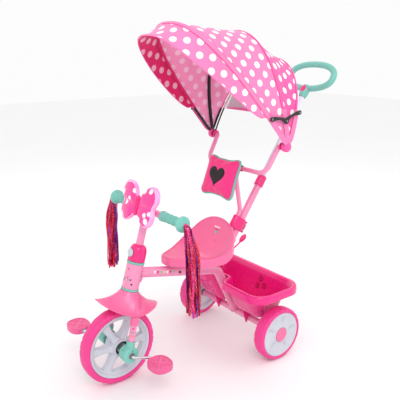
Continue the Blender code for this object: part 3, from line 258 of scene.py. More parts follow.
PAINT = painted("pink_paint", rgb(240, 146, 188))
SILVER = painted("silver_paint", rgb(226, 228, 240), 0.22)
PINK = moulded("pink_plastic", rgb(244, 108, 160), 0.30, Coat_Weight=0.25, Coat_Roughness=0.15)
PEDAL_PINK = moulded("pedal_plastic", rgb(238, 96, 152), 0.36)
HOT = moulded("hot_pink_plastic", rgb(236, 34, 128), 0.30, Coat_Weight=0.2, Coat_Roughness=0.15)
BASKET_PINK = moulded("basket_plastic", rgb(236, 24, 132), 0.27, Coat_Weight=0.3, Coat_Roughness=0.12)
TYRE = moulded("tyre_pink", rgb(236, 56, 142), 0.42, grain=600.0, grain_depth=0.00008)
WHITE = moulded("white_plastic", rgb(202, 204, 214), 0.30)
MINT = moulded("mint_plastic", rgb(122, 196, 182), 0.42)
BLACK = moulded("black_plastic", rgb(30, 24, 30), 0.38)
CHROME = metal("chrome", rgb(225, 225, 230), 0.10)
STEEL = metal("hub_steel", rgb(150, 150, 150), 0.30)
CANOPY_FRONT = cloth("canopy_cloth_front", rgb(248, 132, 186), rgb(255, 250, 253))
CANOPY_REAR = cloth("canopy_cloth_rear", rgb(248, 92, 168), rgb(255, 248, 252))
CANOPY_BACK = cloth("canopy_cloth_back", rgb(248, 50, 158), rgb(255, 246, 252))
INSIDE_VISOR = cloth("canopy_inside_visor", rgb(222, 24, 108), rgb(240, 192, 206), blur=0.0016)
INSIDE_PANEL = cloth("canopy_inside_panel", rgb(252, 164, 206), rgb(252, 214, 234), blur=0.002)
INSIDE_BACK = cloth("canopy_lining", rgb(226, 226, 228), sheen=0.1)
SEAM = cloth("canopy_seam", rgb(226, 62, 138))
HEM = cloth("canopy_hem", rgb(248, 128, 184))
CUSHION = cloth("cushion_cloth", rgb(242, 56, 134), sheen=0.3)
PIPING = cloth("piping_cloth", rgb(112, 192, 178))
WEBBING = cloth("webbing", rgb(30, 22, 28), weave=0.0016)


# ------------------------------------------------------------------ mesh helpers
def piece(name, bm, mats, body, matrix=WORLD, replaces=(), sharp=38.0, face_mat=None):
    """Turn a bmesh into a finished object in the frame that rides on a body."""
    bmesh.ops.transform(bm, matrix=matrix, verts=bm.verts)
    bmesh.ops.recalc_face_normals(bm, faces=bm.faces)
    mesh = bpy.data.meshes.new(name)
    bm.to_mesh(mesh)
    bm.free()
    for mat in mats if isinstance(mats, (list, tuple)) else [mats]:
        mesh.materials.append(mat)
    if face_mat:
        for polygon in mesh.polygons:
            polygon.material_index = face_mat(polygon)
    mesh.shade_smooth()
    mesh.set_sharp_from_angle(angle=math.radians(sharp))
    obj = bpy.data.objects.new(name, mesh)
    bpy.context.scene.collection.objects.link(obj)
    if body:
        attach(obj, body)
    if replaces:
        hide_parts(*replaces)
    return obj


def skin(rings, closed=False, caps=True, wrap=True):
    """Grid of faces over rows of points; each row is a loop when wrap, the rows close up when closed."""
    bm = bmesh.new()
    loops = [[bm.verts.new(point) for point in ring] for ring in rings]
    pairs = list(zip(loops, loops[1:]))
    if closed:
        pairs.append((loops[-1], loops[0]))
    count = len(loops[0])
    for first, second in pairs:
        for i in range(count if wrap else count - 1):
            j = (i + 1) % count
            bm.faces.new((first[i], first[j], second[j], second[i]))
    if caps and not closed and wrap:
        bm.faces.new(loops[0])
        bm.faces.new(loops[-1])
    bmesh.ops.remove_doubles(bm, verts=bm.verts, dist=1e-6)
    return bm


def rounded(profile, radius, steps=3):
    """Round the corners of a closed (r, h) profile, except those on the axis."""
    points = [Vector(point) for point in profile]
    result = []
    for index, corner in enumerate(points):
        before, after = points[index - 1], points[(index + 1) % len(points)]
        into, out = before - corner, after - corner
        room = min(into.length, out.length) * 0.45
        if corner.x < 1e-6 or room < 1e-6:
            result.append(corner)
            continue
        reach = min(radius, room)
        start, end = corner + into.normalized() * reach, corner + out.normalized() * reach
        for k in range(steps + 1):
            t = k / steps
            result.append(start.lerp(corner, t).lerp(corner.lerp(end, t), t))
    return result


def lathe(profile, segments=64, radius=0.0008, relief=None):
    """Turn a closed profile about Z; relief(r, h, angle) moves a point's radius and height."""
    outline = rounded(profile, radius) if radius else [Vector(point) for point in profile]
    rings = []
    for k in range(segments):
        angle = 2.0 * math.pi * k / segments
        ring = []
        for point in outline:
            r, h = relief(point.x, point.y, angle) if relief else (point.x, point.y)
            ring.append((r * math.cos(angle), r * math.sin(angle), h))
        rings.append(ring)
    bm = skin(rings, closed=True)
    bmesh.ops.dissolve_degenerate(bm, dist=1e-6, edges=bm.edges)
    return bm


def turned(inner, outer, low, high, segments=64, radius=0.0008):
    """Ring about Z with plain walls, or a disc when inner is 0."""
    return lathe([(inner, low), (outer, low), (outer, high), (inner, high)], segments, radius)


def pipe(path, radius, sides=20, closed=False, flat=None):
    """Round bar along a path without twist; radius may be a function of the share along it."""
    points = [Vector(point) for point in path]
    count = len(points)
    tangents = []
    for i in range(count):
        ahead = points[(i + 1) % count] if closed or i < count - 1 else points[i]
        behind = points[i - 1] if closed or i > 0 else points[i]
        tangents.append((ahead - behind).normalized())
    side = tangents[0].orthogonal().normalized() if flat is None else Vector(flat).normalized()
    rings = []
    for i, (point, tangent) in enumerate(zip(points, tangents)):
        side = (side - tangent * side.dot(tangent)).normalized()
        up = tangent.cross(side)
        size = radius(i / max(count - 1, 1)) if callable(radius) else radius
        wide, thick = size if isinstance(size, tuple) else (size, size)
        rings.append([point + side * (wide * math.cos(a)) + up * (thick * math.sin(a))
                      for a in circle(sides)])
    return skin(rings, closed=closed)


def bend_path(corners, radii, steps=10):
    """Straight runs between corners, each inner corner rounded to its bend radius."""
    points = [Vector(corners[0])]
    for before, corner, after, radius in zip(corners, corners[1:], corners[2:], radii):
        before, corner, after = Vector(before), Vector(corner), Vector(after)
        into, out = (before - corner).normalized(), (after - corner).normalized()
        half = into.angle(out) / 2.0
        centre = corner + (into + out).normalized() * (radius / math.sin(half))
        start = corner + into * (radius / math.tan(half))
        end = corner + out * (radius / math.tan(half))
        normal = (start - centre).cross(end - centre).normalized()
        sweep = (start - centre).angle(end - centre)
        for i in range(steps + 1):
            turn = Matrix.Rotation(sweep * i / steps, 3, normal)
            points.append(centre + turn @ (start - centre))
    points.append(Vector(corners[-1]))
    return points


def spline(before, start, end, after, t):
    """Catmull-Rom point between start and end."""
    return 0.5 * ((2 * start) + (end - before) * t
                  + (2 * before - 5 * start + 4 * end - after) * t ** 2
                  + (3 * start - before - 3 * end + after) * t ** 3)


def smooth_curve(points, steps):
    """Catmull-Rom curve through points of any dimension."""
    points = [Vector(point) for point in points]
    padded = [2 * points[0] - points[1]] + points + [2 * points[-1] - points[-2]]
    result = []
    for i in range(len(points) - 1):
        result += [spline(*padded[i:i + 4], k / steps) for k in range(steps)]
    result.append(points[-1])
    return result


def join(*meshes):
    """One bmesh holding several, each given as a bmesh or as (bmesh, matrix)."""
    whole = bmesh.new()
    for entry in meshes:
        bm, matrix = entry if isinstance(entry, tuple) else (entry, None)
        if matrix:
            bmesh.ops.transform(bm, matrix=matrix, verts=bm.verts)
        bmesh.ops.recalc_face_normals(bm, faces=bm.faces)
        part = bpy.data.meshes.new("part")
        bm.to_mesh(part)
        bm.free()
        whole.from_mesh(part)
        bpy.data.meshes.remove(part)
    return whole


def fused(bm, voxel, smooth=4):
    """Melt overlapping closed shapes into one moulded body with soft inner corners."""
    mesh = bpy.data.meshes.new("fused")
    bm.to_mesh(mesh)
    bm.free()
    obj = bpy.data.objects.new("fused", mesh)
    bpy.context.scene.collection.objects.link(obj)
    remesh = obj.modifiers.new("remesh", "REMESH")
    remesh.mode = "VOXEL"
    remesh.voxel_size = voxel
    soften = obj.modifiers.new("soften", "SMOOTH")
    soften.factor = 0.5
    soften.iterations = smooth
    bpy.context.view_layer.update()
    result = bmesh.new()
    depsgraph = bpy.context.evaluated_depsgraph_get()
    result.from_mesh(obj.evaluated_get(depsgraph).data)
    bpy.data.objects.remove(obj)
    bpy.data.meshes.remove(mesh)
    return result


def prism(outline, low, high, axis="Z"):
    """A flat outline pulled along an axis: (y, z) for X, (x, z) for Y, (x, y) for Z."""
    def point(a, b, c):
        return {"X": (c, a, b), "Y": (a, c, b), "Z": (a, b, c)}[axis]
    return skin([[point(a, b, level) for a, b in outline] for level in (low, high)])


def bevelled(bm, width, segments=2, angle=40.0):
    """Round every edge sharper than the angle."""
    bmesh.ops.recalc_face_normals(bm, faces=bm.faces)
    edges = [edge for edge in bm.edges
             if len(edge.link_faces) == 2 and edge.calc_face_angle() > math.radians(angle)]
    bmesh.ops.bevel(bm, geom=edges, offset=width, segments=segments, affect="EDGES", profile=0.5,
                    clamp_overlap=True)
    return bm


def circle(count):
    """Evenly spaced angles of a full turn."""
    return [2.0 * math.pi * k / count for k in range(count)]


def signed_power(value, power):
    return math.copysign(abs(value) ** power, value)


def at(matrix, *point):
    return matrix @ Matrix.Translation(point)


# ------------------------------------------------------------------ camera, lights, floor
def make_camera():
    azimuth, pitch = math.radians(52.27), math.radians(15.72)
    direction = Vector((-math.sin(azimuth) * math.cos(pitch), math.cos(azimuth) * math.cos(pitch),
                        -math.sin(pitch)))
    data = bpy.data.cameras.new("camera")
    data.lens = 49.23
    data.sensor_width = 36.0
    camera = bpy.data.objects.new("camera", data)
    camera.location = (1.3983, -0.7481 + Y0, 1.0487)
    camera.rotation_euler = direction.to_track_quat("-Z", "Y").to_euler()
    bpy.context.scene.collection.objects.link(camera)
    bpy.context.scene.camera = camera


def make_light(name, position, target, size, power):
    data = bpy.data.lights.new(name, "AREA")
    data.energy = power
    data.shape = "DISK"
    data.size = size
    lamp = bpy.data.objects.new(name, data)
    lamp.location = position
    lamp.rotation_euler = (Vector(target) - Vector(position)).to_track_quat("-Z", "Y").to_euler()
    bpy.context.scene.collection.objects.link(lamp)


def make_stage():
    bpy.context.scene.view_settings.view_transform = "Standard"
    world = bpy.data.worlds.new("studio")
    world.use_nodes = True
    world.node_tree.nodes["Background"].inputs["Color"].default_value = (1.0, 1.0, 1.0, 1.0)
    world.node_tree.nodes["Background"].inputs["Strength"].default_value = 0.98
    bpy.context.scene.world = world
    mesh = bpy.data.meshes.new("floor")
    mesh.from_pydata([(-9, -9, -0.0006), (9, -9, -0.0006), (9, 9, -0.0006), (-9, 9, -0.0006)], [],
                     [(0, 1, 2, 3)])
    floor = bpy.data.objects.new("floor", mesh)
    bpy.context.scene.collection.objects.link(floor)
    pale = Shader("pale_floor", 0.9)
    pale.colour(pale.ramp(pale.noise(2.0), [(0.0, (0.93, 0.93, 0.93, 1.0)), (1.0, (0.96, 0.96, 0.96, 1.0))]))
    mesh.materials.append(pale.mat)
    aim = (0.0, 0.0, 0.5)
    make_light("key", (2.0, -1.2, 2.6), aim, 1.4, 24.0)
    make_light("fill", (1.4, 2.2, 1.6), aim, 1.8, 6.0)
    make_light("back", (-2.0, 1.2, 2.4), aim, 1.6, 8.0)


# ------------------------------------------------------------------ kept CAD nodes
def dress_cad():
    """Finish the CAD nodes whose own shape is right."""
    looks = {SILVER: ["steerer_tube", "seat_bracket"], CHROME: ["rear_axle_rod"]}
    for mat, names in looks.items():
        for name in names:
            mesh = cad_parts[name].data
            mesh.materials.clear()
            mesh.materials.append(mat)


# ------------------------------------------------------------------ wheels
def tyre_bm(radius, inner, width, middle, blocks):
    """Moulded tyre with a soft crown and shallow curled tread cuts along both shoulders."""
    half = width / 2.0
    wall = radius - inner
    outline = [(inner, -half + 0.003), (inner + 0.10 * wall, -half + 0.0008), (inner + 0.35 * wall, -half),
               (inner + 0.62 * wall, -half + 0.0012), (inner + 0.82 * wall, -half + 0.0042),
               (inner + 0.94 * wall, -half + 0.0085)]
    crown = [(radius - 0.0006 * abs(k) ** 2, k * (half - 0.013)) for k in (-1.0, -0.75, -0.5, -0.25, 0.0)]
    left = outline + crown
    outline = left + [(r, -h) for r, h in reversed(left[:-1])]
    fine = smooth_curve(outline, 3)

    def relief(r, h, angle):
        if r < inner + 0.45 * wall:
            return r, h + middle
        side = 1.0 if h > 0.0 else -1.0
        swirl = blocks * angle + side * 1.2 + 2.6 * math.sin(abs(h) / half * 2.6)
        cut = max(0.0, math.cos(swirl)) ** 6
        shoulder = min(1.0, max(0.0, (abs(h) - 0.25 * half) / (0.3 * half)))
        line = max(0.0, 1.0 - abs(abs(h) - 0.30 * half) / 0.0012) * 0.8
        depth = 0.0018 * max(cut * shoulder, line)
        return r - depth, h + middle
    return lathe([tuple(p) for p in fine], segments=blocks * 14, radius=0.0, relief=relief)


def rim_outer(radius, lip, web):
    """Closed profile of a rim's outer channel."""
    return [(radius, lip), (radius - 0.0045, lip + 0.0006), (radius - 0.0085, lip - 0.002),
            (radius - 0.0125, web + 0.001), (radius - 0.0175, web), (radius - 0.0175, -web),
            (radius - 0.0125, -web - 0.001), (radius - 0.0085, -lip + 0.002),
            (radius - 0.0045, -lip - 0.0006), (radius, -lip)]


def front_wheel():
    piece("front_tyre_tread", tyre_bm(FRONT_R, FRONT_RIM_R + GAP, FRONT_W, 0.0, 26), TYRE, "front_wheel",
          AXLE @ ALONG_X, ["front_tyre"], sharp=60.0)
    lip = FRONT_W / 2.0 - 0.0027
    ring = lathe(rim_outer(FRONT_RIM_R, lip, 0.0115), 96, 0.0015)
    hub = lathe([(0.0235, 0.031), (0.0235, -0.031), (0.0285, -0.031), (0.0300, -0.012), (0.0300, 0.012),
                 (0.0285, 0.031)], 72, 0.0012)
    parts = [ring, hub]
    for index in range(6):
        turn = Matrix.Rotation(index * math.pi / 3.0 + math.pi / 2.0, 4, "Z")
        rings = []
        for k in range(15):
            share = k / 14.0
            along = 0.0270 + (FRONT_RIM_R - 0.0150 - 0.0270) * share
            wide = 0.0100 + 0.0085 * share ** 3.2 + 0.0045 * (1.0 - share) ** 4
            deep = 0.0175 + (0.0105 - 0.0175) * share ** 0.8 + 0.004 * (1.0 - share) ** 5
            rings.append([(along, wide * signed_power(math.cos(a), 0.55),
                           deep * signed_power(math.sin(a), 0.55))
                          for a in circle(28)])
        parts.append((skin(rings), turn))
    rim = fused(join(*parts), 0.0011, 6)
    piece("front_rim_spokes", rim, WHITE, "front_wheel", AXLE @ ALONG_X, ["front_rim"])
    core = lathe([(0.0050, 0.019), (0.0050, -0.019), (0.0228, -0.019), (0.0228, 0.019)], 48, 0.0008)
    piece("front_hub_core", core, BLACK, "front_wheel", AXLE @ ALONG_X)
    for side in (-1, 1):
        plate = lathe([(0.0050, side * 0.0202), (0.0165, side * 0.0202), (0.0150, side * 0.0235),
                       (0.0085, side * 0.0240), (0.0080, side * 0.0275), (0.0050, side * 0.0275)], 40, 0.0005)
        piece(f"front_hub_plate_{'left' if side > 0 else 'right'}", plate, STEEL, "front_wheel",
              AXLE @ ALONG_X)
    arm = Vector((0.102, 0, 0)) + CRANK
    left = [(0.186, CRANK.y, CRANK.z), arm, (0.098, 0.0, 0.0)]
    corners = left + [(-x, -y, -z) for x, y, z in reversed(left)]
    piece("crank_rod", pipe(bend_path(corners, [0.008] * 4, 8), 0.0045, 24), CHROME, "front_wheel", AXLE,
          ["crank_axle"])


def pedal(word, side):
    """Rounded block with a raised lip and two crossed ribs on each face."""
    centre = Vector((PEDAL_X, CRANK.y, CRANK.z)) * side
    half_x, half_y, half_z = 0.040, 0.036, 0.010
    count = 96

    def edge(a):
        return half_x * signed_power(math.cos(a), 0.80), half_y * signed_power(math.sin(a), 0.80)

    def height(x, y, share):
        lip = min(1.0, max(0.0, (share - 0.86) / 0.05))
        cross = min(abs(x / half_x - y / half_y), abs(x / half_x + y / half_y)) * 0.7
        rib = min(1.0, max(0.0, (0.16 - cross) / 0.05))
        frame_rib = min(1.0, max(0.0, (0.045 - abs(share - 0.52)) / 0.02))
        return -0.0034 + 0.0034 * max(lip, 0.75 * rib, 0.55 * frame_rib)

    rings = []
    shares = [0.03 + 0.93 * k / 30 for k in range(31)]
    for face in (1.0, -1.0):
        rows = [[(edge(a)[0] * s, edge(a)[1] * s, face * (half_z + height(edge(a)[0] * s, edge(a)[1] * s, s)))
                 for a in circle(count)] for s in shares]
        rim = [(0.985, half_z - 0.0009), (1.0, half_z - 0.0032)]
        rows += [[(edge(a)[0] * s, edge(a)[1] * s, face * h)
                  for a in circle(count)] for s, h in rim]
        rings += rows if face > 0 else list(reversed(rows))
    piece(f"pedal_{word}_tread", skin(rings), PEDAL_PINK, f"pedal_{word}", at(AXLE, *centre),
          [f"pedal_{word}"], sharp=50.0)
    for end, x in (("inner", 0.1098), ("outer", 0.1895)):
        collar = turned(0.0052, 0.0082, -0.0012, 0.0004, 24, 0.0003)
        spot = at(AXLE, side * x, centre.y, centre.z)
        if end == "inner":
            piece(f"pedal_{word}_collar", collar, CHROME, f"pedal_{word}", spot @ ALONG_X)
        else:
            bmesh.ops.scale(collar, vec=(0.6, 0.6, 0.5), verts=collar.verts)
            piece(f"pedal_{word}_end", collar, BLACK, f"pedal_{word}", spot @ ALONG_X)


def rear_wheel(word, side):
    outer = OVERALL_WIDTH / 2.0
    middle = outer - REAR_W / 2.0 - 0.0005
    inside = middle - REAR_W / 2.0
    body = f"rear_wheel_{word}"
    mirror = Matrix.Scale(side, 4, (0.0, 0.0, 1.0))
    place = REAR @ ALONG_X @ mirror
    tread = tyre_bm(REAR_R, REAR_RIM_R + GAP, REAR_W, middle, 20)
    piece(f"rear_tyre_tread_{word}", tread, TYRE, body, place, [f"rear_tyre_{word}"], sharp=60.0)
    count = 150

    def face(r, angle):
        """Distance of the dished outer face from the wheel's outer plane."""
        share = min(1.0, max(0.0, (r - 0.031) / (REAR_RIM_R - 0.009 - 0.031)))
        dish = 0.0075 * math.sin(math.pi * min(share, 1.0)) ** 0.8
        wave = math.cos(5.0 * (angle - 0.45))
        valley = max(0.0, wave) ** 5 * math.sin(math.pi * share) ** 0.7
        return 0.0022 + dish * (0.45 + 0.55 * valley) + 0.0028 * valley

    radii = [0.0262 + (REAR_RIM_R - 0.0080 - 0.0262) * k / 34 for k in range(35)]
    profile = [(r, None) for r in radii]
    profile += [(REAR_RIM_R - 0.0060, outer - 0.0013), (REAR_RIM_R - 0.0025, outer - 0.0012),
                (REAR_RIM_R, outer - 0.003), (REAR_RIM_R, inside + 0.004),
                (REAR_RIM_R - 0.0135, inside + 0.004), (REAR_RIM_R - 0.018, inside + 0.0135),
                (0.024, inside + 0.012), (0.022, inside + 0.003),
                (0.0058, inside + 0.003), (0.0058, outer - 0.0065), (0.0258, outer - 0.0065)]
    rings = []
    for k in range(count):
        angle = 2.0 * math.pi * k / count
        rings.append([(r * math.cos(angle), r * math.sin(angle), outer - face(r, angle) if h is None else h)
                      for r, h in profile])
    piece(f"rear_rim_disc_{word}", skin(rings, closed=True), WHITE, body, place,
          [f"rear_rim_{word}"], sharp=45.0)
    seat = outer - 0.0061
    cap = lathe([(0.0, seat), (0.0250, seat), (0.0250, outer - 0.0012), (0.0228, outer + 0.0004),
                 (0.0205, outer - 0.0004), (0.0, outer + 0.0010)], 64, 0.0007)
    piece(f"hub_cap_{word}_button", cap, PINK, body, place, [f"hub_cap_{word}"])
    spacer = lathe([(0.0136, inside - 0.0036), (0.0136, inside - 0.0004), (0.0058, inside - 0.0004),
                    (0.0058, inside - 0.0036)], 40, 0.0005)
    piece(f"axle_spacer_{word}", spacer, BLACK, "frame", place)


# ------------------------------------------------------------------ steering assembly
def carved(bm, *cutters):
    """Cut closed shapes out of a body and return the result."""
    made = []
    for shape in (bm, *cutters):
        bmesh.ops.recalc_face_normals(shape, faces=shape.faces)
        mesh = bpy.data.meshes.new("shape")
        shape.to_mesh(mesh)
        shape.free()
        obj = bpy.data.objects.new("shape", mesh)
        bpy.context.scene.collection.objects.link(obj)
        made.append(obj)
    for tool in made[1:]:
        cut = made[0].modifiers.new("cut", "BOOLEAN")
        cut.object = tool
        cut.solver = "EXACT"
    bpy.context.view_layer.update()
    result = bmesh.new()
    result.from_mesh(made[0].evaluated_get(bpy.context.evaluated_depsgraph_get()).data)
    for obj in made:
        mesh = obj.data
        bpy.data.objects.remove(obj)
        bpy.data.meshes.remove(mesh)
    return result


def loop_through(half, steps):
    """Smooth closed outline from its right half, mirrored across X = 0."""
    points = [Vector(point) for point in half]
    mirrored = [Vector((-p.x, *p[1:])) for p in reversed(points[1:-1])]
    whole = points + mirrored
    count = len(whole)
    result = []
    for i in range(count):
        four = [whole[(i + k) % count] for k in (-1, 0, 1, 2)]
        result += [spline(*four, k / steps) for k in range(steps)]
    return result


def fork():
    shoulder = FORK_TOP - 0.047
    left = [(FORK_LEG_X, 0, 0.0130), (FORK_LEG_X, 0, 0.045), (FORK_LEG_X - 0.006, 0, shoulder),
            (0.036, 0, FORK_TOP)]
    corners = left + [(-x, y, z) for x, y, z in reversed(left)]
    path = bend_path(corners, [0.03, 0.025, 0.028, 0.028, 0.025, 0.03], 8)
    piece("fork_tube", pipe(path, 0.010, 32), PAINT, "steering", STEER, ["fork"])
    colours = [rgb(240, 140, 60), rgb(150, 150, 156), rgb(232, 60, 130)]
    for index, colour in enumerate(colours):
        mat = moulded(f"print_{index}", colour, 0.45)
        for word, side in (("left", 1), ("right", -1)):
            height = 0.060 + 0.0115 * index
            centre = Vector((side * (FORK_LEG_X - 0.006 * (height - 0.045) / 0.056), 0.0, height))
            rows = []
            for k in range(5):
                rise = -0.0030 + 0.0015 * k
                rows.append([centre + Vector((side * 0.01035 * math.cos(a), -0.01035 * math.sin(a), rise))
                             for a in (0.25 + 0.14 * j for j in range(6))])
            piece(f"fork_print_{word}_{index}", skin(rows, caps=False, wrap=False), mat, "steering", STEER)


def hub_cover(word, side):
    """Moulded lobe with a neck for the fork leg, a slot and a small screw hole."""
    lobe = lathe([(0.0052, 0.050), (0.024, 0.050), (0.0265, 0.054), (0.0265, 0.083), (0.0235, 0.0868),
                  (0.0052, 0.0868)], 72, 0.0022)
    neck = lathe([(0.0, 0.0), (0.0135, 0.0), (0.0138, 0.034), (0.0130, 0.0415), (0.0104, 0.0425),
                  (0.0104, 0.020), (0.0, 0.020)], 48, 0.0012)
    mirror = Matrix.Scale(side, 4, (1.0, 0.0, 0.0))
    body = fused(join((lobe, ALONG_X), (neck, Matrix.Translation((FORK_LEG_X, 0.0, 0.0)))), 0.0009, 5)
    slot = prism([(-0.0016, 0.0125), (0.0016, 0.0125), (0.0016, 0.0215), (-0.0016, 0.0215)],
                 0.0840, 0.0900, "X")
    hole = turned(0.0, 0.0022, 0.0, 0.01, 20, 0.0)
    bmesh.ops.transform(hole, matrix=Matrix.Translation((FORK_LEG_X, -0.0195, 0.012)) @ ALONG_Y @
                        Matrix.Rotation(math.pi, 4, "X"), verts=hole.verts)
    body = carved(body, slot, hole)
    piece(f"hub_cover_{word}_moulded", body, MINT, "steering", STEER @ mirror,
          [f"hub_cover_{word}"], sharp=45.0)
    ring = lathe([(0.0052, 0.0866), (0.0105, 0.0866), (0.0100, 0.0882), (0.0052, 0.0882)], 36, 0.0004)
    piece(f"hub_cover_{word}_washer", ring, STEEL, "steering", STEER @ mirror @ ALONG_X)


def fender():
    """Flared guard whose sides swell out over the fork's shoulders."""
    collar = HEAD_LOW - GAP - RING_HEIGHT - 2.0 * GAP
    half = [(0.0, -0.113, 0.1525), (0.034, -0.095, 0.142), (0.056, -0.060, 0.131), (0.072, -0.026, 0.127),
            (0.077, 0.0, 0.127), (0.070, 0.026, 0.128), (0.055, 0.058, 0.133), (0.032, 0.092, 0.141),
            (0.0, 0.113, 0.146)]
    outline = loop_through(half, 9)
    rows = []
    for i in range(19):
        level = i / 18.0
        row = []
        for edge in outline:
            angle = math.atan2(edge.y, edge.x)
            start = Vector((RING_RADIUS * math.cos(angle), RING_RADIUS * math.sin(angle), collar))
            point = start.lerp(edge, level)
            flare = 1.25 + 0.75 * abs(math.sin(angle))
            point.z = edge.z + (collar - edge.z) * (1.0 - level) ** flare
            out = Vector((math.cos(angle), math.sin(angle), 0.0))
            side = math.exp(-(point.y / 0.016) ** 2)
            swell = side * max(0.0, math.sin(math.pi * min(1.0, level * 1.15))) ** 1.5
            point += Vector((0, 0, 0.0065)) * swell + out * (0.0022 * swell)
            groove = math.exp(-((level - 0.90) / 0.025) ** 2)
            point.z -= 0.0010 * groove
            row.append(point)
        rows.append(row)
    lip = []
    for out, drop in ((0.0008, 0.0006), (0.0010, 0.0018), (0.0006, 0.0029)):
        lip.append([p + Vector((p.x, p.y, 0.0)).normalized() * out - Vector((0, 0, drop)) for p in rows[-1]])
    inner = [[p - Vector((p.x, p.y, 0.0)).normalized() * 0.0012 - Vector((0, 0, 0.0028)) for p in row]
             for row in reversed(rows[1:])]
    inner.append([Vector((p.x * 0.93, p.y * 0.93, collar - 0.0028)) for p in rows[0]])
    shell = skin(rows + lip + inner, closed=True)
    sleeves = []
    for side in (1, -1):
        sleeve = lathe([(0.0104, 0.0), (0.0132, 0.0), (0.0142, 0.028), (0.0104, 0.028)], 40, 0.0008)
        sleeves.append((sleeve, Matrix.Translation((side * 0.0640, 0.0, 0.092))
                        @ Matrix.Rotation(-side * 0.10, 4, "Y")))
    piece("fender_moulded", join(shell, *sleeves), PINK, "steering", STEER, ["front_fender"],
          sharp=50.0)


def head_set():
    tube = turned(HEAD_BORE, HEAD_RADIUS, HEAD_LOW, HEAD_HIGH, 72, 0.0009)
    piece("head_tube_turned", tube, PAINT, "frame", STEER, ["head_tube"])
    for word, low in (("lower", HEAD_LOW - GAP - RING_HEIGHT), ("upper", HEAD_HIGH + GAP)):
        def bead(r, h, angle, low=low):
            mid = abs(h - low - RING_HEIGHT / 2.0) / (RING_HEIGHT / 2.0)
            return (r - 0.0012 * mid ** 4 if r > 0.02 else r), h
        ring = lathe([(HEAD_BORE, low), (RING_RADIUS, low), (RING_RADIUS, low + 0.0023),
                      (RING_RADIUS, low + 0.0047), (RING_RADIUS, low + RING_HEIGHT),
                      (HEAD_BORE, low + RING_HEIGHT)], 72, 0.0009, bead)
        piece(f"head_ring_{word}_bead", ring, MINT, "frame", STEER, [f"head_ring_{word}"])
    weld = pipe([Vector((0.0155 * math.cos(a), 0.0265, 0.2310 + 0.0205 * math.sin(a)))
                 for a in circle(48)],
                0.0026, 10, closed=True)
    piece("head_weld", weld, PAINT, "frame", STEER)
    random.seed(7)
    colours = [rgb(34, 30, 40), rgb(240, 130, 50), rgb(60, 170, 170), rgb(246, 212, 70), rgb(200, 30, 80)]
    mats = [moulded(f"confetti_{i}", colour, 0.45) for i, colour in enumerate(colours)]
    bm = bmesh.new()
    picks = []
    outside = HEAD_RADIUS + PRINT_LIFT
    for k in range(16):
        angle = math.radians(-90.0 + random.uniform(-58.0, 62.0))
        height = 0.232 + random.uniform(-0.026, 0.026)
        size = random.uniform(0.0026, 0.0048)
        turn = random.uniform(0.0, 2.0)
        corners = []
        for j in range(3):
            a = turn + 2.0 * math.pi * j / 3
            spot = angle + size * math.cos(a) / HEAD_RADIUS
            corners.append(bm.verts.new((outside * math.cos(spot), outside * math.sin(spot),
                                         height + size * math.sin(a))))
        bm.faces.new(corners)
        picks.append(k % len(colours))
    piece("head_tube_print", bm, mats, "frame", STEER, face_mat=lambda face: picks[face.index])


def stem():
    low = HEAD_HIGH + RING_HEIGHT + 2.0 * GAP
    cap_radius = 0.0275
    cap = lathe([(0.0124, low), (cap_radius, low), (cap_radius, low + 0.032), (0.0250, low + 0.044),
                 (0.0195, low + 0.052), (0.0124, low + 0.055)], 80, 0.003)
    floor = -(cap_radius - 0.0052)
    centre = low + 0.026
    pocket = turned(0.0, 0.0141, 0.0, 0.03, 48, 0.0)
    bmesh.ops.transform(pocket, matrix=Matrix.Translation((0.0, floor, centre)) @
                        Matrix.Rotation(math.pi / 2.0, 4, "X"), verts=pocket.verts)
    piece("stem_cap_moulded", carved(cap, pocket), HOT, "steering", STEER, ["stem_cap"],
          sharp=42.0)
    back = floor - 0.003
    face = lathe([(0.0, -back), (0.0133, -back), (0.0133, -back + 0.0040), (0.0108, -back + 0.0058),
                  (0.0, -back + 0.0064)], 56, 0.0012)
    place = at(STEER, 0.0, 0.0, centre) @ Matrix.Rotation(math.pi / 2.0, 4, "X")
    piece("stem_button_cap", face, WHITE, "stem_button", place, ["stem_button"])
    top = HANDLEBAR_HEIGHT - HANDLEBAR_RADIUS - GAP
    tube = turned(0.0, 0.012, low + GAP, top, 48)
    piece("stem_tube_turned", tube, PAINT, "steering", STEER, ["stem_tube"])
    weld = lathe([(0.0115, top - 0.003), (0.0138, top - 0.0015), (0.0150, top + 0.0025),
                  (0.0115, top + 0.004)], 40, 0.0012)
    piece("stem_weld", weld, PAINT, "steering", STEER)
    half = HANDLEBAR_LENGTH / 2.0
    bar = turned(0.0, HANDLEBAR_RADIUS, -half, half, 48)
    piece("handlebar_bar", bar, PAINT, "steering", at(STEER, 0.0, 0.0, HANDLEBAR_HEIGHT) @ ALONG_X,
          ["handlebar"])


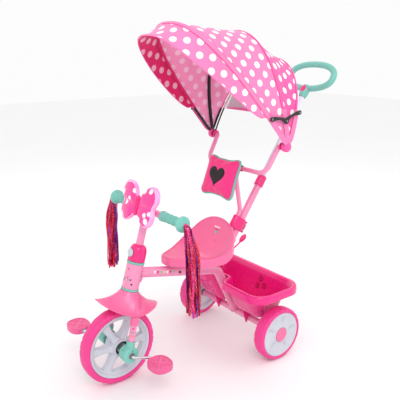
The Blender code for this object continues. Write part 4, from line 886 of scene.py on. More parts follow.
def grip(word, side):
    end = HANDLEBAR_LENGTH / 2.0
    outer = end + 0.006
    start = outer - GRIP_LENGTH
    profile = [(0.0114, start), (0.0165, start), (0.0165, start + 0.006), (0.0145, start + 0.009)]
    profile += [(0.0142 - 0.0004 * math.sin(math.pi * k / 60), start + 0.012 + 0.082 * k / 60)
                for k in range(61)]
    profile += [(0.0150, outer - 0.021), (0.0240, outer - 0.017), (0.0240, outer - 0.010),
                (0.0165, outer - 0.0075), (0.0150, outer), (0.0, outer), (0.0, end + 0.0004),
                (0.0114, end + 0.0004)]

    def ribs(r, h, angle):
        inside = min(1.0, max(0.0, (h - start - 0.016) / 0.003), max(0.0, (start + 0.086 - h) / 0.003))
        if r < 0.013 or inside <= 0.0:
            return r, h
        finger = 0.0007 * math.cos((h - start) / 0.0205 * 2.0 * math.pi)
        knurl = 0.0005 * (1.0 if math.sin((h - start) / 0.0041 * math.pi * 2.0) > 0.0 else -1.0)
        return r + (finger + knurl) * inside, h
    body = lathe(profile, 56, 0.0009, ribs)
    mirror = Matrix.Scale(side, 4, (0.0, 0.0, 1.0))
    piece(f"grip_{word}_moulded", body, MINT, "steering", at(STEER, 0.0, 0.0, HANDLEBAR_HEIGHT) @ ALONG_X
          @ mirror, [f"grip_{word}"], sharp=40.0)


def foil(name, colour, other):
    """Metallised film: bright flakes of a second colour under a clear gloss."""
    made = Shader(name, 0.25, metallic=0.5, Coat_Weight=0.3, Coat_Roughness=0.08)
    cells = made.node("ShaderNodeTexVoronoi")
    cells.inputs["Scale"].default_value = 420.0
    made.links.new(made.place.outputs["Object"], cells.inputs["Vector"])
    flake = made.math("GREATER_THAN", cells.outputs["Distance"], 0.74)
    blotch = made.ramp(made.noise(60.0), [(0.35, shade(colour, 0.75)), (0.65, shade(colour, 1.15))])
    made.colour(made.mix(flake, blotch, other))
    return made.bump(cells.outputs["Distance"], 0.0002, 0.6).mat


def tassel(word, side, foils):
    """Foil strips that spring from the grip's end and hang, grouped by colour."""
    strips, length, bundle = 42, 0.270, 0.0195
    root = STEER @ Matrix.Translation((side * (HANDLEBAR_LENGTH / 2.0 + 0.0065), 0.0, HANDLEBAR_HEIGHT)) \
        @ Matrix.Rotation(HEAD_TILT, 4, "X")
    random.seed(11 + side)
    groups = [bmesh.new() for _ in foils]
    for index in range(strips):
        group = groups[min(len(foils) - 1, int(random.random() * len(foils)))]
        angle = 2.0 * math.pi * index / strips + random.uniform(-0.2, 0.2)
        spread = bundle * math.sqrt(random.uniform(0.05, 1.0))
        drop = length - random.uniform(0.0, 0.022)
        wide = random.uniform(0.0024, 0.0038)
        wave, phase = random.uniform(0.0006, 0.0018), random.uniform(0.0, 6.28)
        facing, twist = random.uniform(0.0, 3.14), random.uniform(-1.6, 1.6)
        rows = []
        for k in range(33):
            s = k / 32.0
            rise = 0.008 * math.sin(math.pi * min(1.0, s * 9.0)) * (1.0 - s) if s < 0.12 else 0.0
            open_up = min(1.0, s / 0.30) ** 0.7
            centre = 0.0025 + 0.0320 * min(1.0, s / 0.45) ** 0.62
            x = centre + (0.0035 + (spread - 0.0035) * open_up) * math.cos(angle)
            x += wave * math.sin(phase + 16.0 * s)
            y = (0.0035 + (spread - 0.0035) * open_up) * math.sin(angle) + wave * math.cos(phase + 13.0 * s)
            turn = facing + twist * s + 0.5 * math.sin(phase + 9.0 * s)
            offset = Vector((math.cos(turn), math.sin(turn), 0.0)) * wide
            spot = Vector((side * max(0.0, x), y, rise - drop * s ** 1.05))
            thin = Vector((math.sin(turn), -math.cos(turn), 0.0)) * 0.00012
            rows.append([spot - offset - thin, spot + offset - thin, spot + offset + thin,
                         spot - offset + thin])
        strip = skin(rows)
        mesh = bpy.data.meshes.new("strip")
        strip.to_mesh(mesh)
        strip.free()
        group.from_mesh(mesh)
        bpy.data.meshes.remove(mesh)
    for index, (group, mat) in enumerate(zip(groups, foils)):
        obj = piece(f"tassel_{word}_strips_{index}", group, mat, "steering", root, sharp=30.0)
        if index == 0:
            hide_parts(f"tassel_{word}")
    plug = lathe([(0.0, -0.001), (0.0062, -0.001), (0.0062, 0.004), (0.0045, 0.0055), (0.0, 0.0055)],
                 32, 0.0008)
    piece(f"tassel_{word}_plug", plug, HOT, "steering", root @ Matrix.Rotation(side * math.pi / 2.0, 4, "Y"))


def butterfly_light():
    """Lamp of two puffed wing pairs that glows pink through soft white patches."""
    half = [(0.0, 0.014), (0.010, 0.022), (0.034, 0.060), (0.062, 0.073), (0.088, 0.063), (0.098, 0.034),
            (0.084, 0.005), (0.090, -0.022), (0.080, -0.045), (0.056, -0.056), (0.030, -0.042),
            (0.010, -0.018), (0.0, -0.014)]
    outline = loop_through([(x, z, 0.0) for x, z in half], 6)
    rows = []
    for depth, scale in ((-0.0262, 0.2), (-0.0262, 0.70), (-0.0262, 0.94), (-0.0275, 0.975), (-0.030, 0.995),
                         (-0.034, 1.0), (-0.0375, 1.0)):
        rows.append([(p.x * scale, depth, p.y * scale) for p in outline])
    for k in range(1, 22):
        scale = 1.0 - 0.95 * k / 21.0
        row = []
        for p in outline:
            x, z = p.x * scale, p.y * scale
            puff = (1.0 - scale ** 3.0) ** 0.75
            wing = min(1.0, abs(x) / 0.030) ** 0.7
            crease = 1.0 - 0.55 * math.exp(-((z - 0.004) / 0.0085) ** 2) * min(1.0, abs(x) / 0.03)
            row.append((x, -0.0375 - 0.0125 * puff * wing * crease, z))
        rows.append(row)
    glow = Shader("lamp_shell", 0.25, Coat_Weight=0.4, Coat_Roughness=0.1)
    cells = glow.node("ShaderNodeTexVoronoi", feature="F1")
    cells.inputs["Scale"].default_value = 34.0
    glow.links.new(glow.place.outputs["Object"], cells.inputs["Vector"])
    ragged = glow.math("ADD", cells.outputs["Distance"], glow.math("MULTIPLY", glow.noise(90.0), 0.16))
    spots = glow.ramp(ragged, [(0.34, rgb(255, 236, 246)), (0.46, rgb(236, 48, 142))])
    glow.colour(spots).links.new(spots, glow.shader.inputs["Emission Color"])
    glow.shader.inputs["Emission Strength"].default_value = 0.16
    rim_glow = Shader("lamp_rim", 0.3, Coat_Weight=0.4, Coat_Roughness=0.1)
    edge = rim_glow.ramp(rim_glow.noise(20.0), [(0.3, rgb(250, 128, 196)), (0.7, rgb(255, 168, 214))])
    rim_glow.colour(edge).links.new(edge, rim_glow.shader.inputs["Emission Color"])
    rim_glow.shader.inputs["Emission Strength"].default_value = 0.22
    rim_faces = len(outline) * 8
    place = at(STEER, 0.0, 0.0, HANDLEBAR_HEIGHT + 0.007)
    lens = glow.bump(glow.noise(300.0), 0.00004).mat
    piece("butterfly_lamp_wings", skin(rows), [lens, rim_glow.mat], "steering", place,
          ["butterfly_light"], sharp=60.0, face_mat=lambda face: int(face.index < rim_faces))
    body = lathe([(0.0, -0.030), (0.0060, -0.028), (0.0088, -0.012), (0.0080, 0.010), (0.0095, 0.022),
                  (0.0075, 0.031), (0.0, 0.034)], 36, 0.003)
    piece("butterfly_lamp_body", body, HOT, "steering", at(place, 0.0, -0.0405, 0.0))
    bracket = bevelled(prism([(-0.030, -0.010), (-0.0116, -0.012), (-0.0116, 0.013), (-0.030, 0.013)],
                             -0.012, 0.012, "X"), 0.0012)
    clip = turned(0.0112, 0.0136, -0.012, 0.012, 48, 0.0006)
    bmesh.ops.transform(clip, matrix=ALONG_X, verts=clip.verts)
    piece("butterfly_lamp_bracket", join(bracket, clip), PINK, "steering",
          at(STEER, 0.0, 0.0, HANDLEBAR_HEIGHT))


# ------------------------------------------------------------------ frame, seat, basket
MAIN_FRONT, MAIN_BEND = Vector((0.0, 0.0950, 0.352)), Vector((0.0, 0.410, 0.281))


def frame_tubes():
    axle = Vector((0.0, WHEELBASE, REAR_R))
    down = (axle - MAIN_BEND).normalized()
    foot = axle - down * (AXLE_TUBE_RADIUS + GAP)
    path = bend_path([MAIN_FRONT, MAIN_BEND, foot], [0.045], 14)
    tube = pipe(path, (MAIN_TUBE_WIDE, MAIN_TUBE_HIGH), 40, flat=(1.0, 0.0, 0.0))
    piece("main_tube_oval", tube, PAINT, "frame", WORLD, ["main_tube"])
    weld = pipe([foot + Vector((0.0135 * math.cos(a), 0.0, 0.0))
                 + Vector((0.0, -down.z, down.y)) * (0.0180 * math.sin(a))
                 + down * (0.0062 * math.sin(a) ** 2 - 0.001)
                 for a in circle(48)], 0.0022, 10, closed=True)
    piece("axle_weld", weld, PAINT, "frame")
    end = OVERALL_WIDTH / 2.0 - REAR_W - 0.0005 - 0.004
    tube = turned(0.0056, AXLE_TUBE_RADIUS, -end, end, 48)
    piece("axle_tube_turned", tube, PAINT, "frame", REAR @ ALONG_X, ["axle_tube"])
    along = (MAIN_BEND - MAIN_FRONT).normalized()
    upward = Vector((0.0, -along.z, along.y))
    spot = MAIN_FRONT + along * 0.147
    bolt = lathe([(0.0, 0.0134), (0.0045, 0.0134), (0.0040, 0.0160), (0.0, 0.0164)], 32, 0.0006)
    recess = turned(0.0, 0.0018, 0.0150, 0.0180, 6, 0.0)
    piece("frame_bolt_head", carved(bolt, recess), BLACK, "frame", WORLD @ Matrix.Translation(spot) @ ALONG_X,
          ["frame_bolt"])
    colours = [rgb(246, 244, 248), rgb(222, 28, 110), rgb(120, 200, 180), rgb(250, 214, 90)]
    mats = [moulded(f"bunting_{i}", colour, 0.45) for i, colour in enumerate(colours)]
    bm = bmesh.new()
    for side in (1, -1):
        for k in range(7):
            start = 0.045 + 0.0125 * k
            sag = 0.0016 * math.cos((k - 3) * 0.5)
            rows = []
            for level in range(5):
                rise = 0.0068 - sag - 0.0112 * level / 4.0
                half = 0.0050 * (1.0 - level / 4.0) + 0.0001
                row = []
                for j in range(5):
                    across = -half + 2.0 * half * j / 4.0
                    x = MAIN_TUBE_WIDE * math.sqrt(1.0 - (rise / MAIN_TUBE_HIGH) ** 2) + PRINT_LIFT
                    row.append(bm.verts.new(MAIN_FRONT + along * (start + across) + upward * rise
                                            + Vector((side * x, 0.0, 0.0))))
                rows.append(row)
            for first, second in zip(rows, rows[1:]):
                for j in range(4):
                    bm.faces.new((first[j], first[j + 1], second[j + 1], second[j])).material_index = k % 4
    piece("main_tube_bunting", bm, mats, "frame")


def seat():
    """Bucket saddle with a rolled rim, a deep basin and a stiffening skirt."""
    wide, skirt, wall = 0.228 / 2.0, 0.026, 0.0036
    half = [(0.0, 0.189, 0.383), (0.24 * wide, 0.198, 0.381), (0.43 * wide, 0.232, 0.378),
            (0.66 * wide, 0.272, 0.374), (0.89 * wide, 0.314, 0.376), (1.0 * wide, 0.350, 0.388),
            (0.96 * wide, 0.380, 0.409), (0.77 * wide, 0.404, 0.440), (0.43 * wide, 0.418, 0.463),
            (0.0, 0.423, 0.471)]
    rim = loop_through(half, 7)
    basin = Vector((0.0, *SEAT_BASIN))
    rows = []
    levels = [0.04, 0.12, 0.22, 0.34, 0.46, 0.58, 0.68, 0.77, 0.84, 0.90, 0.945, 0.975, 0.992]
    for level in levels:
        row = []
        for edge in rim:
            point = basin.lerp(edge, level)
            point.z = basin.z + (edge.z - basin.z) * level ** 2.4
            row.append(point)
        rows.append(row)
    for out, drop, deeper in ((0.0008, -0.0012, 0.0), (0.0030, -0.0004, 0.0), (0.0050, 0.0020, 0.0),
                              (0.0058, 0.0055, 0.0), (0.0060, 0.0, 0.45), (0.0060, 0.0, 0.75),
                              (0.0064, 0.0, 0.97), (0.0060, 0.0, 1.0)):
        row = []
        for edge in rim:
            away = Vector((edge.x, edge.y - basin.y, 0.0)).normalized()
            fall = drop + deeper * skirt * (1.0 + 0.9 * max(0.0, away.y))
            row.append(edge + away * out - Vector((0, 0, fall)))
        rows.append(row)
    inner = []
    for row in reversed(rows[-8:]):
        inner.append([p - Vector((p.x, p.y - basin.y, 0.0)).normalized() * 0.0032 for p in row])
    for row in reversed(rows[:-8]):
        inner.append([p - Vector((0.0, 0.0, wall)) for p in row])
    shell = skin(rows + inner[1:], caps=False)
    ends = [edge for edge in shell.edges if edge.is_boundary]
    bmesh.ops.holes_fill(shell, edges=ends, sides=0)
    tree = BVHTree.FromBMesh(shell)
    bands = (("pale", rgb(252, 214, 226), 0.0170, 0.0110, 0.0150, 0.0140),
             ("pink", rgb(226, 60, 130), 0.0106, 0.0040, 0.0138, 0.0090),
             ("mint", rgb(120, 196, 176), 0.0034, -0.0100, 0.0086, 0.0010))
    for name, colour, top, bottom, half_top, half_bottom in bands:
        rows = []
        for i in range(7):
            share = i / 6.0
            row = []
            for j in range(13):
                x = (half_top + (half_bottom - half_top) * share) * (j / 6.0 - 1.0)
                start = Vector((x, 0.30, 0.425 + top + (bottom - top) * share))
                hit, normal = tree.ray_cast(start, Vector((0.0, 1.0, 0.0)))[:2]
                spot = hit if hit else start
                row.append(spot + (normal if normal and normal.y < 0.0 else -normal) * 0.0004)
            rows.append(row)
        mat = moulded(f"seat_print_{name}", colour, 0.4)
        piece(f"seat_print_{name}", skin(rows, caps=False, wrap=False), mat, "frame")
    piece("seat_shell_moulded", shell, PINK, "frame", WORLD, ["seat_shell"], sharp=60.0)


def basket_ring(inset, notch, front, rear, corner, steps=12):
    """Rounded rectangle whose front has a hollow for the frame tube."""
    wide = BASKET_WIDTH / 2.0 - inset
    hollow = [(0.0, notch), (0.008, notch), (0.017, notch + 0.0006), (0.023, notch * 0.8 + front * 0.2),
              (0.030, (notch + front) / 2.0), (0.037, notch * 0.2 + front * 0.8), (0.046, front)]
    half = hollow + [(0.046 + (wide - corner - 0.046) * k / 6.0, front) for k in range(1, 6)]
    for cx, cy, start in ((wide - corner, front + corner, -0.5), (wide - corner, rear - corner, 0.0)):
        half += [(cx + corner * math.cos(math.pi * (start + 0.5 * k / steps)),
                  cy + corner * math.sin(math.pi * (start + 0.5 * k / steps))) for k in range(steps + 1)]
    half += [(wide * 0.6, rear), (wide * 0.3, rear), (0.0, rear)]
    return half + [(-x, y) for x, y in reversed(half[1:-1])]


def basket():
    """Open tub with a rolled rim, and two ribs that hook over the axle tube."""
    top, floor, wall = 0.250, 0.132, 0.003
    front, rear = BASKET_FRONT, BASKET_REAR
    lean = (WHEELBASE - MAIN_BEND.y) / (MAIN_BEND.z - REAR_R)

    def notch(height, inward):
        middle = WHEELBASE - lean * (height - REAR_R)
        return middle + MAIN_TUBE_HIGH * math.hypot(1.0, lean) + 0.0035 + inward

    def between(a, b, share):
        return tuple(x + (y - x) * share for x, y in zip(a, b))
    base = (floor, 0.070, 0.0, front + 0.072, rear - 0.045, 0.030)
    waist = (floor + 0.058, 0.0510, 0.0, front + 0.040, rear - 0.028, 0.040)
    shoulder = (top - 0.0075, 0.0150, 0.009, front + 0.016, rear - 0.014, 0.052)
    levels = [(floor - 0.0002, 0.080, 0.0, front + 0.080, rear - 0.053, 0.022),
              (floor, 0.074, 0.0, front + 0.075, rear - 0.048, 0.026),
              (floor + 0.0025, 0.0705, 0.0, front + 0.0722, rear - 0.0455, 0.030)]
    levels += [between(base, waist, s) for s in (0.08, 0.3, 0.6, 0.9)]
    levels += [between(waist, shoulder, s) for s in (0.1, 0.4, 0.7, 0.95)]
    levels += [(top - 0.0085, 0.0100, 0.0055, front + 0.011, rear - 0.009, 0.055),
               (top - 0.0090, 0.0062, 0.003, front + 0.0066, rear - 0.0058, 0.058),
               (top - 0.0255, 0.0045, 0.0015, front + 0.005, rear - 0.004, 0.058),
               (top - 0.0270, 0.0025, 0.001, front + 0.003, rear - 0.0025, 0.059),
               (top - 0.0262, 0.0002, 0.0, front + 0.0002, rear - 0.0002, 0.060),
               (top - 0.0150, 0.0000, 0.0, front, rear, 0.060),
               (top - 0.0055, 0.0006, 0.0003, front + 0.0006, rear - 0.0006, 0.060),
               (top - 0.0015, 0.0024, 0.002, front + 0.0026, rear - 0.0024, 0.059),
               (top, 0.0055, 0.0048, front + 0.0055, rear - 0.0055, 0.058),
               (top - 0.0004, 0.0100, 0.0076, front + 0.0100, rear - 0.0095, 0.055),
               (top - 0.0030, 0.0145, 0.0105, front + 0.0155, rear - 0.0140, 0.052),
               (top - 0.0075, 0.0182, 0.013, front + 0.0205, rear - 0.0183, 0.050)]
    inside = (floor + 0.058, 0.0510 + wall, wall, front + 0.040 + wall, rear - 0.028 - wall, 0.038)
    bottom = (floor + wall, 0.070 + wall, wall, front + 0.072 + wall, rear - 0.045 - wall, 0.028)
    levels += [between(levels[-1], inside, s) for s in (0.25, 0.5, 0.8, 1.0)]
    levels += [between(inside, bottom, s) for s in (0.4, 0.8, 0.96)]
    levels.append((floor + wall, 0.079, wall, front + 0.083, rear - 0.056, 0.022))
    rings = [[(x, y, z) for x, y in basket_ring(inset, notch(z, step), a, b, corner)]
             for z, inset, step, a, b, corner in levels]
    body = skin(rings)
    hook = AXLE_TUBE_RADIUS + 0.0010
    ribs = []
    for x in (0.078, -0.078):
        outline = [(WHEELBASE - 0.037, floor + 0.0015), (WHEELBASE - 0.020, REAR_R - 0.013),
                   (WHEELBASE - hook - 0.001, REAR_R - 0.013)]
        outline += [(WHEELBASE + hook * math.cos(a), REAR_R + hook * math.sin(a))
                    for a in (math.radians(185.0 - 155.0 * k / 16) for k in range(17))]
        outline += [(WHEELBASE + 0.030, floor + 0.0015)]
        ribs.append(bevelled(prism(outline, x - 0.0025, x + 0.0025, "X"), 0.0005))
    whole = join(body, *ribs)
    crimson = moulded("basket_print", rgb(158, 10, 66), 0.4)
    tree = BVHTree.FromBMesh(whole)
    bm = bmesh.new()
    for cx, cz in ((0.045, 0.212), (0.068, 0.192), (0.036, 0.184)):
        for petal in range(6):
            angle = 2.0 * math.pi * petal / 6
            points = []
            for k in range(14):
                a = 2.0 * math.pi * k / 14
                start = Vector((cx + 0.0078 * math.cos(angle) + 0.0036 * math.cos(a), WHEELBASE + 0.03,
                                cz + 0.0078 * math.sin(angle) + 0.0036 * math.sin(a)))
                hit = tree.ray_cast(start, Vector((0.0, 1.0, 0.0)))[0]
                points.append(bm.verts.new(hit - Vector((0.0, 0.0005, 0.0))))
            bm.faces.new(points)
    piece("basket_flowers", bm, crimson, "frame")
    piece("basket_moulded", whole, BASKET_PINK, "frame", WORLD, ["basket"], sharp=50.0)


# ------------------------------------------------------------------ push pole
def circle_hull(first, second, steps=24):
    """Outline around two circles on the local Y axis, each (y, radius), the first behind."""
    (y1, r1), (y2, r2) = first, second
    lean = math.asin((r1 - r2) / (y1 - y2))
    points = [(r1 * math.cos(t), y1 + r1 * math.sin(t))
              for t in (-lean + (math.pi + 2 * lean) * i / steps for i in range(steps + 1))]
    points += [(r2 * math.cos(t), y2 + r2 * math.sin(t))
               for t in (math.pi + lean + (math.pi - 2 * lean) * i / steps for i in range(steps + 1))]
    return points


def push_pole():
    socket = turned(SOCKET_BORE, SOCKET_RADIUS, 0.0, 0.105, 56, 0.0007)
    piece("pole_socket_turned", socket, PAINT, "frame", POLE, ["pole_socket"])
    lower = turned(0.0106, 0.013, 0.004, 0.348, 56, 0.0004)
    piece("pole_lower_turned", lower, PAINT, "frame", POLE, ["pole_lower_tube"])
    top = 0.3488

    def flutes(r, h, angle):
        inside = min(1.0, max(0.0, (h - top + 0.029) / 0.003), max(0.0, (top - 0.003 - h) / 0.003))
        return (r - 0.0007 * inside * max(0.0, math.cos(12.0 * angle)) ** 3 if r > 0.0165 else r), h
    profile = [(SOCKET_BORE, top - 0.034), (SOCKET_RADIUS, top - 0.034)]
    profile += [(SOCKET_RADIUS, top - 0.031 + 0.0034 * k) for k in range(10)]
    profile += [(SOCKET_RADIUS, top + 0.003), (0.0148, top + 0.007), (0.0102, top + 0.007), (0.0102, top),
                (SOCKET_BORE, top)]
    piece("pole_collar_fluted", lathe(profile, 96, 0.0008, flutes), HOT, "collar", POLE,
          ["pole_collar"])
    upper = turned(0.0, 0.0098, 0.238, POLE_TOP, 48)
    piece("pole_upper_turned", upper, SILVER, "push_handle", POLE, ["pole_upper_tube"])
    low = POLE_TOP - 0.012
    knuckle = lathe([(0.0102, low), (0.0135, low), (0.0165, low + 0.014), (0.0175, low + 0.032),
                     (0.0140, low + 0.048), (0.0, low + 0.052), (0.0, POLE_TOP + GAP),
                     (0.0102, POLE_TOP + GAP)], 56, 0.0015)
    half_height = 0.097 / 2.0
    middle = low + 0.038 + half_height
    lean = math.radians(-6.7)
    ring = []
    for i in range(96):
        t = 2.0 * math.pi * i / 96
        height = half_height * signed_power(math.sin(t), 0.87) + half_height
        ring.append((0.104 * signed_power(math.cos(t), 0.87), math.sin(lean) * height,
                     middle - half_height + math.cos(lean) * height))
    handle = fused(join(knuckle, pipe(ring, 0.0115, 28, closed=True)), 0.0011, 5)
    piece("push_handle_moulded", handle, MINT, "push_handle", POLE, ["push_handle"])
    pad = []
    for k in range(7):
        s = 1.0 - k / 6.0
        pad.append([(0.0105 * s * math.cos(a), -0.0166 - 0.0016 * (1.0 - s ** 2), low + 0.030
                     + 0.0135 * s * math.sin(a)) for a in circle(32)]
                   if s > 0.01 else [(0.0003 * math.cos(a), -0.0182, low + 0.030 + 0.0003 * math.sin(a))
                                     for a in circle(32)])
    pad.insert(0, [(0.0105 * math.cos(a), -0.0120, low + 0.030 + 0.0135 * math.sin(a))
                   for a in circle(32)])
    piece("push_handle_pad", skin(pad), HOT, "push_handle", POLE)


def clamp():
    low, high = 0.135, 0.181
    body = bevelled(prism(circle_hull((0.0, 0.0178), (-0.0255, 0.0130)), low, high), 0.0016, 3)
    ears = []
    for side in (-1, 1):
        ear = prism([(0.0014, 0.010), (0.0095, 0.010), (0.0095, 0.0275), (0.0014, 0.0275)], low + 0.001,
                    high - 0.001)
        ears.append((bevelled(ear, 0.0012, 2), Matrix.Scale(side, 4, (1.0, 0.0, 0.0))))
    piece("canopy_clamp_moulded", join(body, *ears), HOT, "frame", POLE, ["canopy_clamp"])
    for word, height in (("upper", high - 0.011), ("lower", low + 0.011)):
        head = lathe([(0.0, 0.0099), (0.0046, 0.0099), (0.0042, 0.0128), (0.0, 0.0134)], 32, 0.0006)
        blade = [(-0.0005, -0.003), (0.0005, -0.003), (0.0005, 0.003), (-0.0005, 0.003)]
        cross = [prism(blade, 0.0122, 0.0150), prism(blade, 0.0122, 0.0150)]
        bmesh.ops.rotate(cross[1], verts=cross[1].verts, matrix=Matrix.Rotation(math.pi / 2.0, 3, "Z"))
        piece(f"clamp_screw_{word}_head", carved(head, *cross), CHROME, "frame",
              at(POLE, 0.0, 0.0215, height) @ ALONG_X, [f"clamp_screw_{word}"])


def hand_screw():
    face = SOCKET_RADIUS + GAP
    shank = lathe([(0.0, face), (0.0055, face), (0.0055, face + 0.004), (0.0035, face + 0.008),
                   (0.0030, face + 0.018), (0.0, face + 0.019)], 40, 0.0006)
    start = face + 0.013
    arm = pipe(smooth_curve([(0.0, start, 0.0), (0.0, start + 0.004, 0.012), (0.0, start + 0.012, 0.026),
                             (0.0, start + 0.017, 0.040)], 6), 0.0027, 16)
    leaf = loop_through([(0.0, 0.034, 0.0), (0.008, 0.040, 0.0), (0.0125, 0.050, 0.0), (0.0115, 0.060, 0.0),
                         (0.005, 0.068, 0.0), (0.0, 0.072, 0.0)], 5)
    rings = []
    for shift, scale in ((-0.0028, 0.5), (-0.0026, 0.8), (-0.0015, 0.98), (0.0, 1.0), (0.0015, 0.98),
                         (0.0022, 0.8), (0.0016, 0.5)):
        rings.append([(p.x * scale, start + 0.0155 + shift + (p.y - 0.034) * 0.22,
                       0.053 + (p.y - 0.053) * scale) for p in leaf])
    knob = fused(join((shank, ALONG_Y), arm, skin(rings)), 0.0006, 4)
    piece("hand_screw_moulded", knob, HOT, "hand_screw", at(POLE, 0.0, 0.0, 0.069),
          ["hand_screw"])


# ------------------------------------------------------------------ canopy
def arch_point(setting, half_width, t, lift=0.0):
    """Point on a bow's arch through the two tips; t runs 0 to pi from the left tip to the right."""
    angle, height, curve = setting
    rise = (height + lift) * abs(math.sin(t)) ** (2.0 / curve)
    return Vector((half_width * signed_power(math.cos(t), 2.0 / curve), -rise * math.cos(angle),
                   rise * math.sin(angle)))


def arch_steps(setting, rise, steps, lift=0.0):
    """Even steps of t between the two places where the arch reaches the given rise."""
    start = math.asin((rise / (setting[1] + lift)) ** (setting[2] / 2.0))
    return [start + (math.pi - 2.0 * start) * k / steps for k in range(steps + 1)]


def unroll(first, second):
    """Flat pattern of the strip between two edges, its middle ruling on the V axis."""
    def meet(a, b, reach_a, reach_b, sign):
        across = b - a
        gap = across.length
        along = (reach_a ** 2 - reach_b ** 2 + gap ** 2) / (2.0 * gap)
        rise = math.sqrt(max(reach_a ** 2 - along ** 2, 0.0))
        unit = across / gap
        return a + unit * along + Vector((unit.y, -unit.x)) * rise * sign
    middle = len(first) // 2
    flat_a, flat_b = [None] * len(first), [None] * len(first)
    flat_a[middle] = Vector((0.0, 0.0))
    flat_b[middle] = Vector((0.0, (second[middle] - first[middle]).length))
    for step, stop in ((1, len(first)), (-1, -1)):
        for k in range(middle + step, stop, step):
            j = k - step
            flat_a[k] = meet(flat_a[j], flat_b[j], (first[k] - first[j]).length,
                             (first[k] - second[j]).length, step)
            flat_b[k] = meet(flat_a[k], flat_b[j], (second[k] - first[k]).length,
                             (second[k] - second[j]).length, step)
    return flat_a, flat_b


def cloth_sheet(name, rows, flat, mats, body, replaces, wrinkle, seed):
    """Two-sided cloth from a grid of points and its flat pattern; returns piece, cut size and area."""
    count_i, count_j = len(rows), len(rows[0])
    normals = []
    for i in range(count_i):
        line = []
        for j in range(count_j):
            down = rows[min(i + 1, count_i - 1)][j] - rows[max(i - 1, 0)][j]
            along = rows[i][min(j + 1, count_j - 1)] - rows[i][max(j - 1, 0)]
            line.append(along.cross(down).normalized())
        normals.append(line)
    if normals[count_i // 2][count_j // 2].dot(rows[count_i // 2][count_j // 2]) < 0.0:
        normals = [[-n for n in line] for line in normals]
    bm = bmesh.new()
    uv_layer = bm.loops.layers.uv.new("pattern")
    sides = []
    for half in (0.5, -0.5):
        grid = []
        for i in range(count_i):
            line = []
            for j in range(count_j):
                share = i / (count_i - 1)
                spot = flat[i][j]
                fold = noise.noise(Vector((spot.x * 16.0 + seed, spot.y * 34.0, seed)))
                fold += 0.5 * noise.noise(Vector((spot.x * 48.0, spot.y * 60.0 + seed, 3.0)))
                ends = min(1.0, 4.0 * share, 4.0 * (1.0 - share))
                shift = half * CLOTH_WALL + wrinkle * fold * ends
                line.append(bm.verts.new(rows[i][j] + normals[i][j] * shift))
            grid.append(line)
        sides.append(grid)
    for number, grid in enumerate(sides):
        for i in range(count_i - 1):
            for j in range(count_j - 1):
                corners = [(i, j), (i, j + 1), (i + 1, j + 1), (i + 1, j)]
                face = bm.faces.new([grid[a][b] for a, b in corners])
                face.material_index = number
                for loop, (a, b) in zip(face.loops, corners):
                    loop[uv_layer].uv = flat[a][b]
    border = [(0, j) for j in range(count_j)] + [(i, count_j - 1) for i in range(1, count_i)]
    border += [(count_i - 1, j) for j in range(count_j - 2, -1, -1)]
    border += [(i, 0) for i in range(count_i - 2, 0, -1)]
    for (a, b), (c, d) in zip(border, border[1:] + border[:1]):
        face = bm.faces.new((sides[0][a][b], sides[0][c][d], sides[1][c][d], sides[1][a][b]))
        for loop in face.loops:
            loop[uv_layer].uv = flat[a][b]
    obj = piece(name, bm, mats, body, TIPS, replaces, sharp=60.0)
    xs = [p.x for line in flat for p in line]
    ys = [p.y for line in flat for p in line]
    area = 0.0
    for i in range(count_i - 1):
        for j in range(count_j - 1):
            corners = [flat[i][j], flat[i][j + 1], flat[i + 1][j + 1], flat[i + 1][j]]
            area += 0.5 * abs(sum(p.x * q.y - q.x * p.y for p, q in zip(corners, corners[1:] + corners[:1])))
    return obj, (max(xs) - min(xs), max(ys) - min(ys)), area


def lerp_rows(first, second, count):
    return [[a.lerp(b, i / count) for a, b in zip(first, second)] for i in range(count + 1)]


def panel_rows(first, second, dip, columns=22, steps=112):
    """Cloth drawn from bow to bow, tip to tip, dipping a little between them."""
    edges = [[arch_point(setting, CANOPY_HALF_WIDTH, t, BOW_LIFT)
              for t in arch_steps(setting, 0.014, steps, BOW_LIFT)] for setting in (first, second)]
    rows = []
    for i in range(columns + 1):
        share = i / columns
        row = []
        for near, far in zip(*edges):
            point = near.lerp(far, share)
            rise = math.hypot(point.y, point.z)
            edge = 0.0011 / rise
            angle = min(max(math.atan2(point.z, -point.y), first[0] + edge), second[0] - edge)
            rise -= dip * math.sin(math.pi * share) * min(1.0, rise / 0.2)
            row.append(Vector((point.x, -rise * math.cos(angle), rise * math.sin(angle))))
        rows.append(row)
    return rows, lerp_rows(*unroll(*edges), columns)


def visor_rows(columns=12, steps=112):
    angle = FRONT_BOW[0]
    ahead = Vector((0.0, -math.sin(angle), -math.cos(angle)))
    upward = Vector((0.0, -math.cos(angle), math.sin(angle)))
    rows = []
    for i in range(columns + 1):
        level = i / columns
        row = []
        for k, t in enumerate(arch_steps(FRONT_BOW, 0.140, steps, BOW_LIFT)):
            point = arch_point(FRONT_BOW, CANOPY_HALF_WIDTH, t, BOW_LIFT)
            swell = math.sin(math.pi * k / steps)
            reach = 0.078 * swell ** 0.42 + 0.004
            point.x *= 1.0 - 0.06 * level * swell
            row.append(point + ahead * (reach * level + 0.0008) + upward * 0.022 * swell ** 4 * level ** 2)
        rows.append(row)
    return rows, lerp_rows(*unroll(rows[0], rows[-1]), columns)


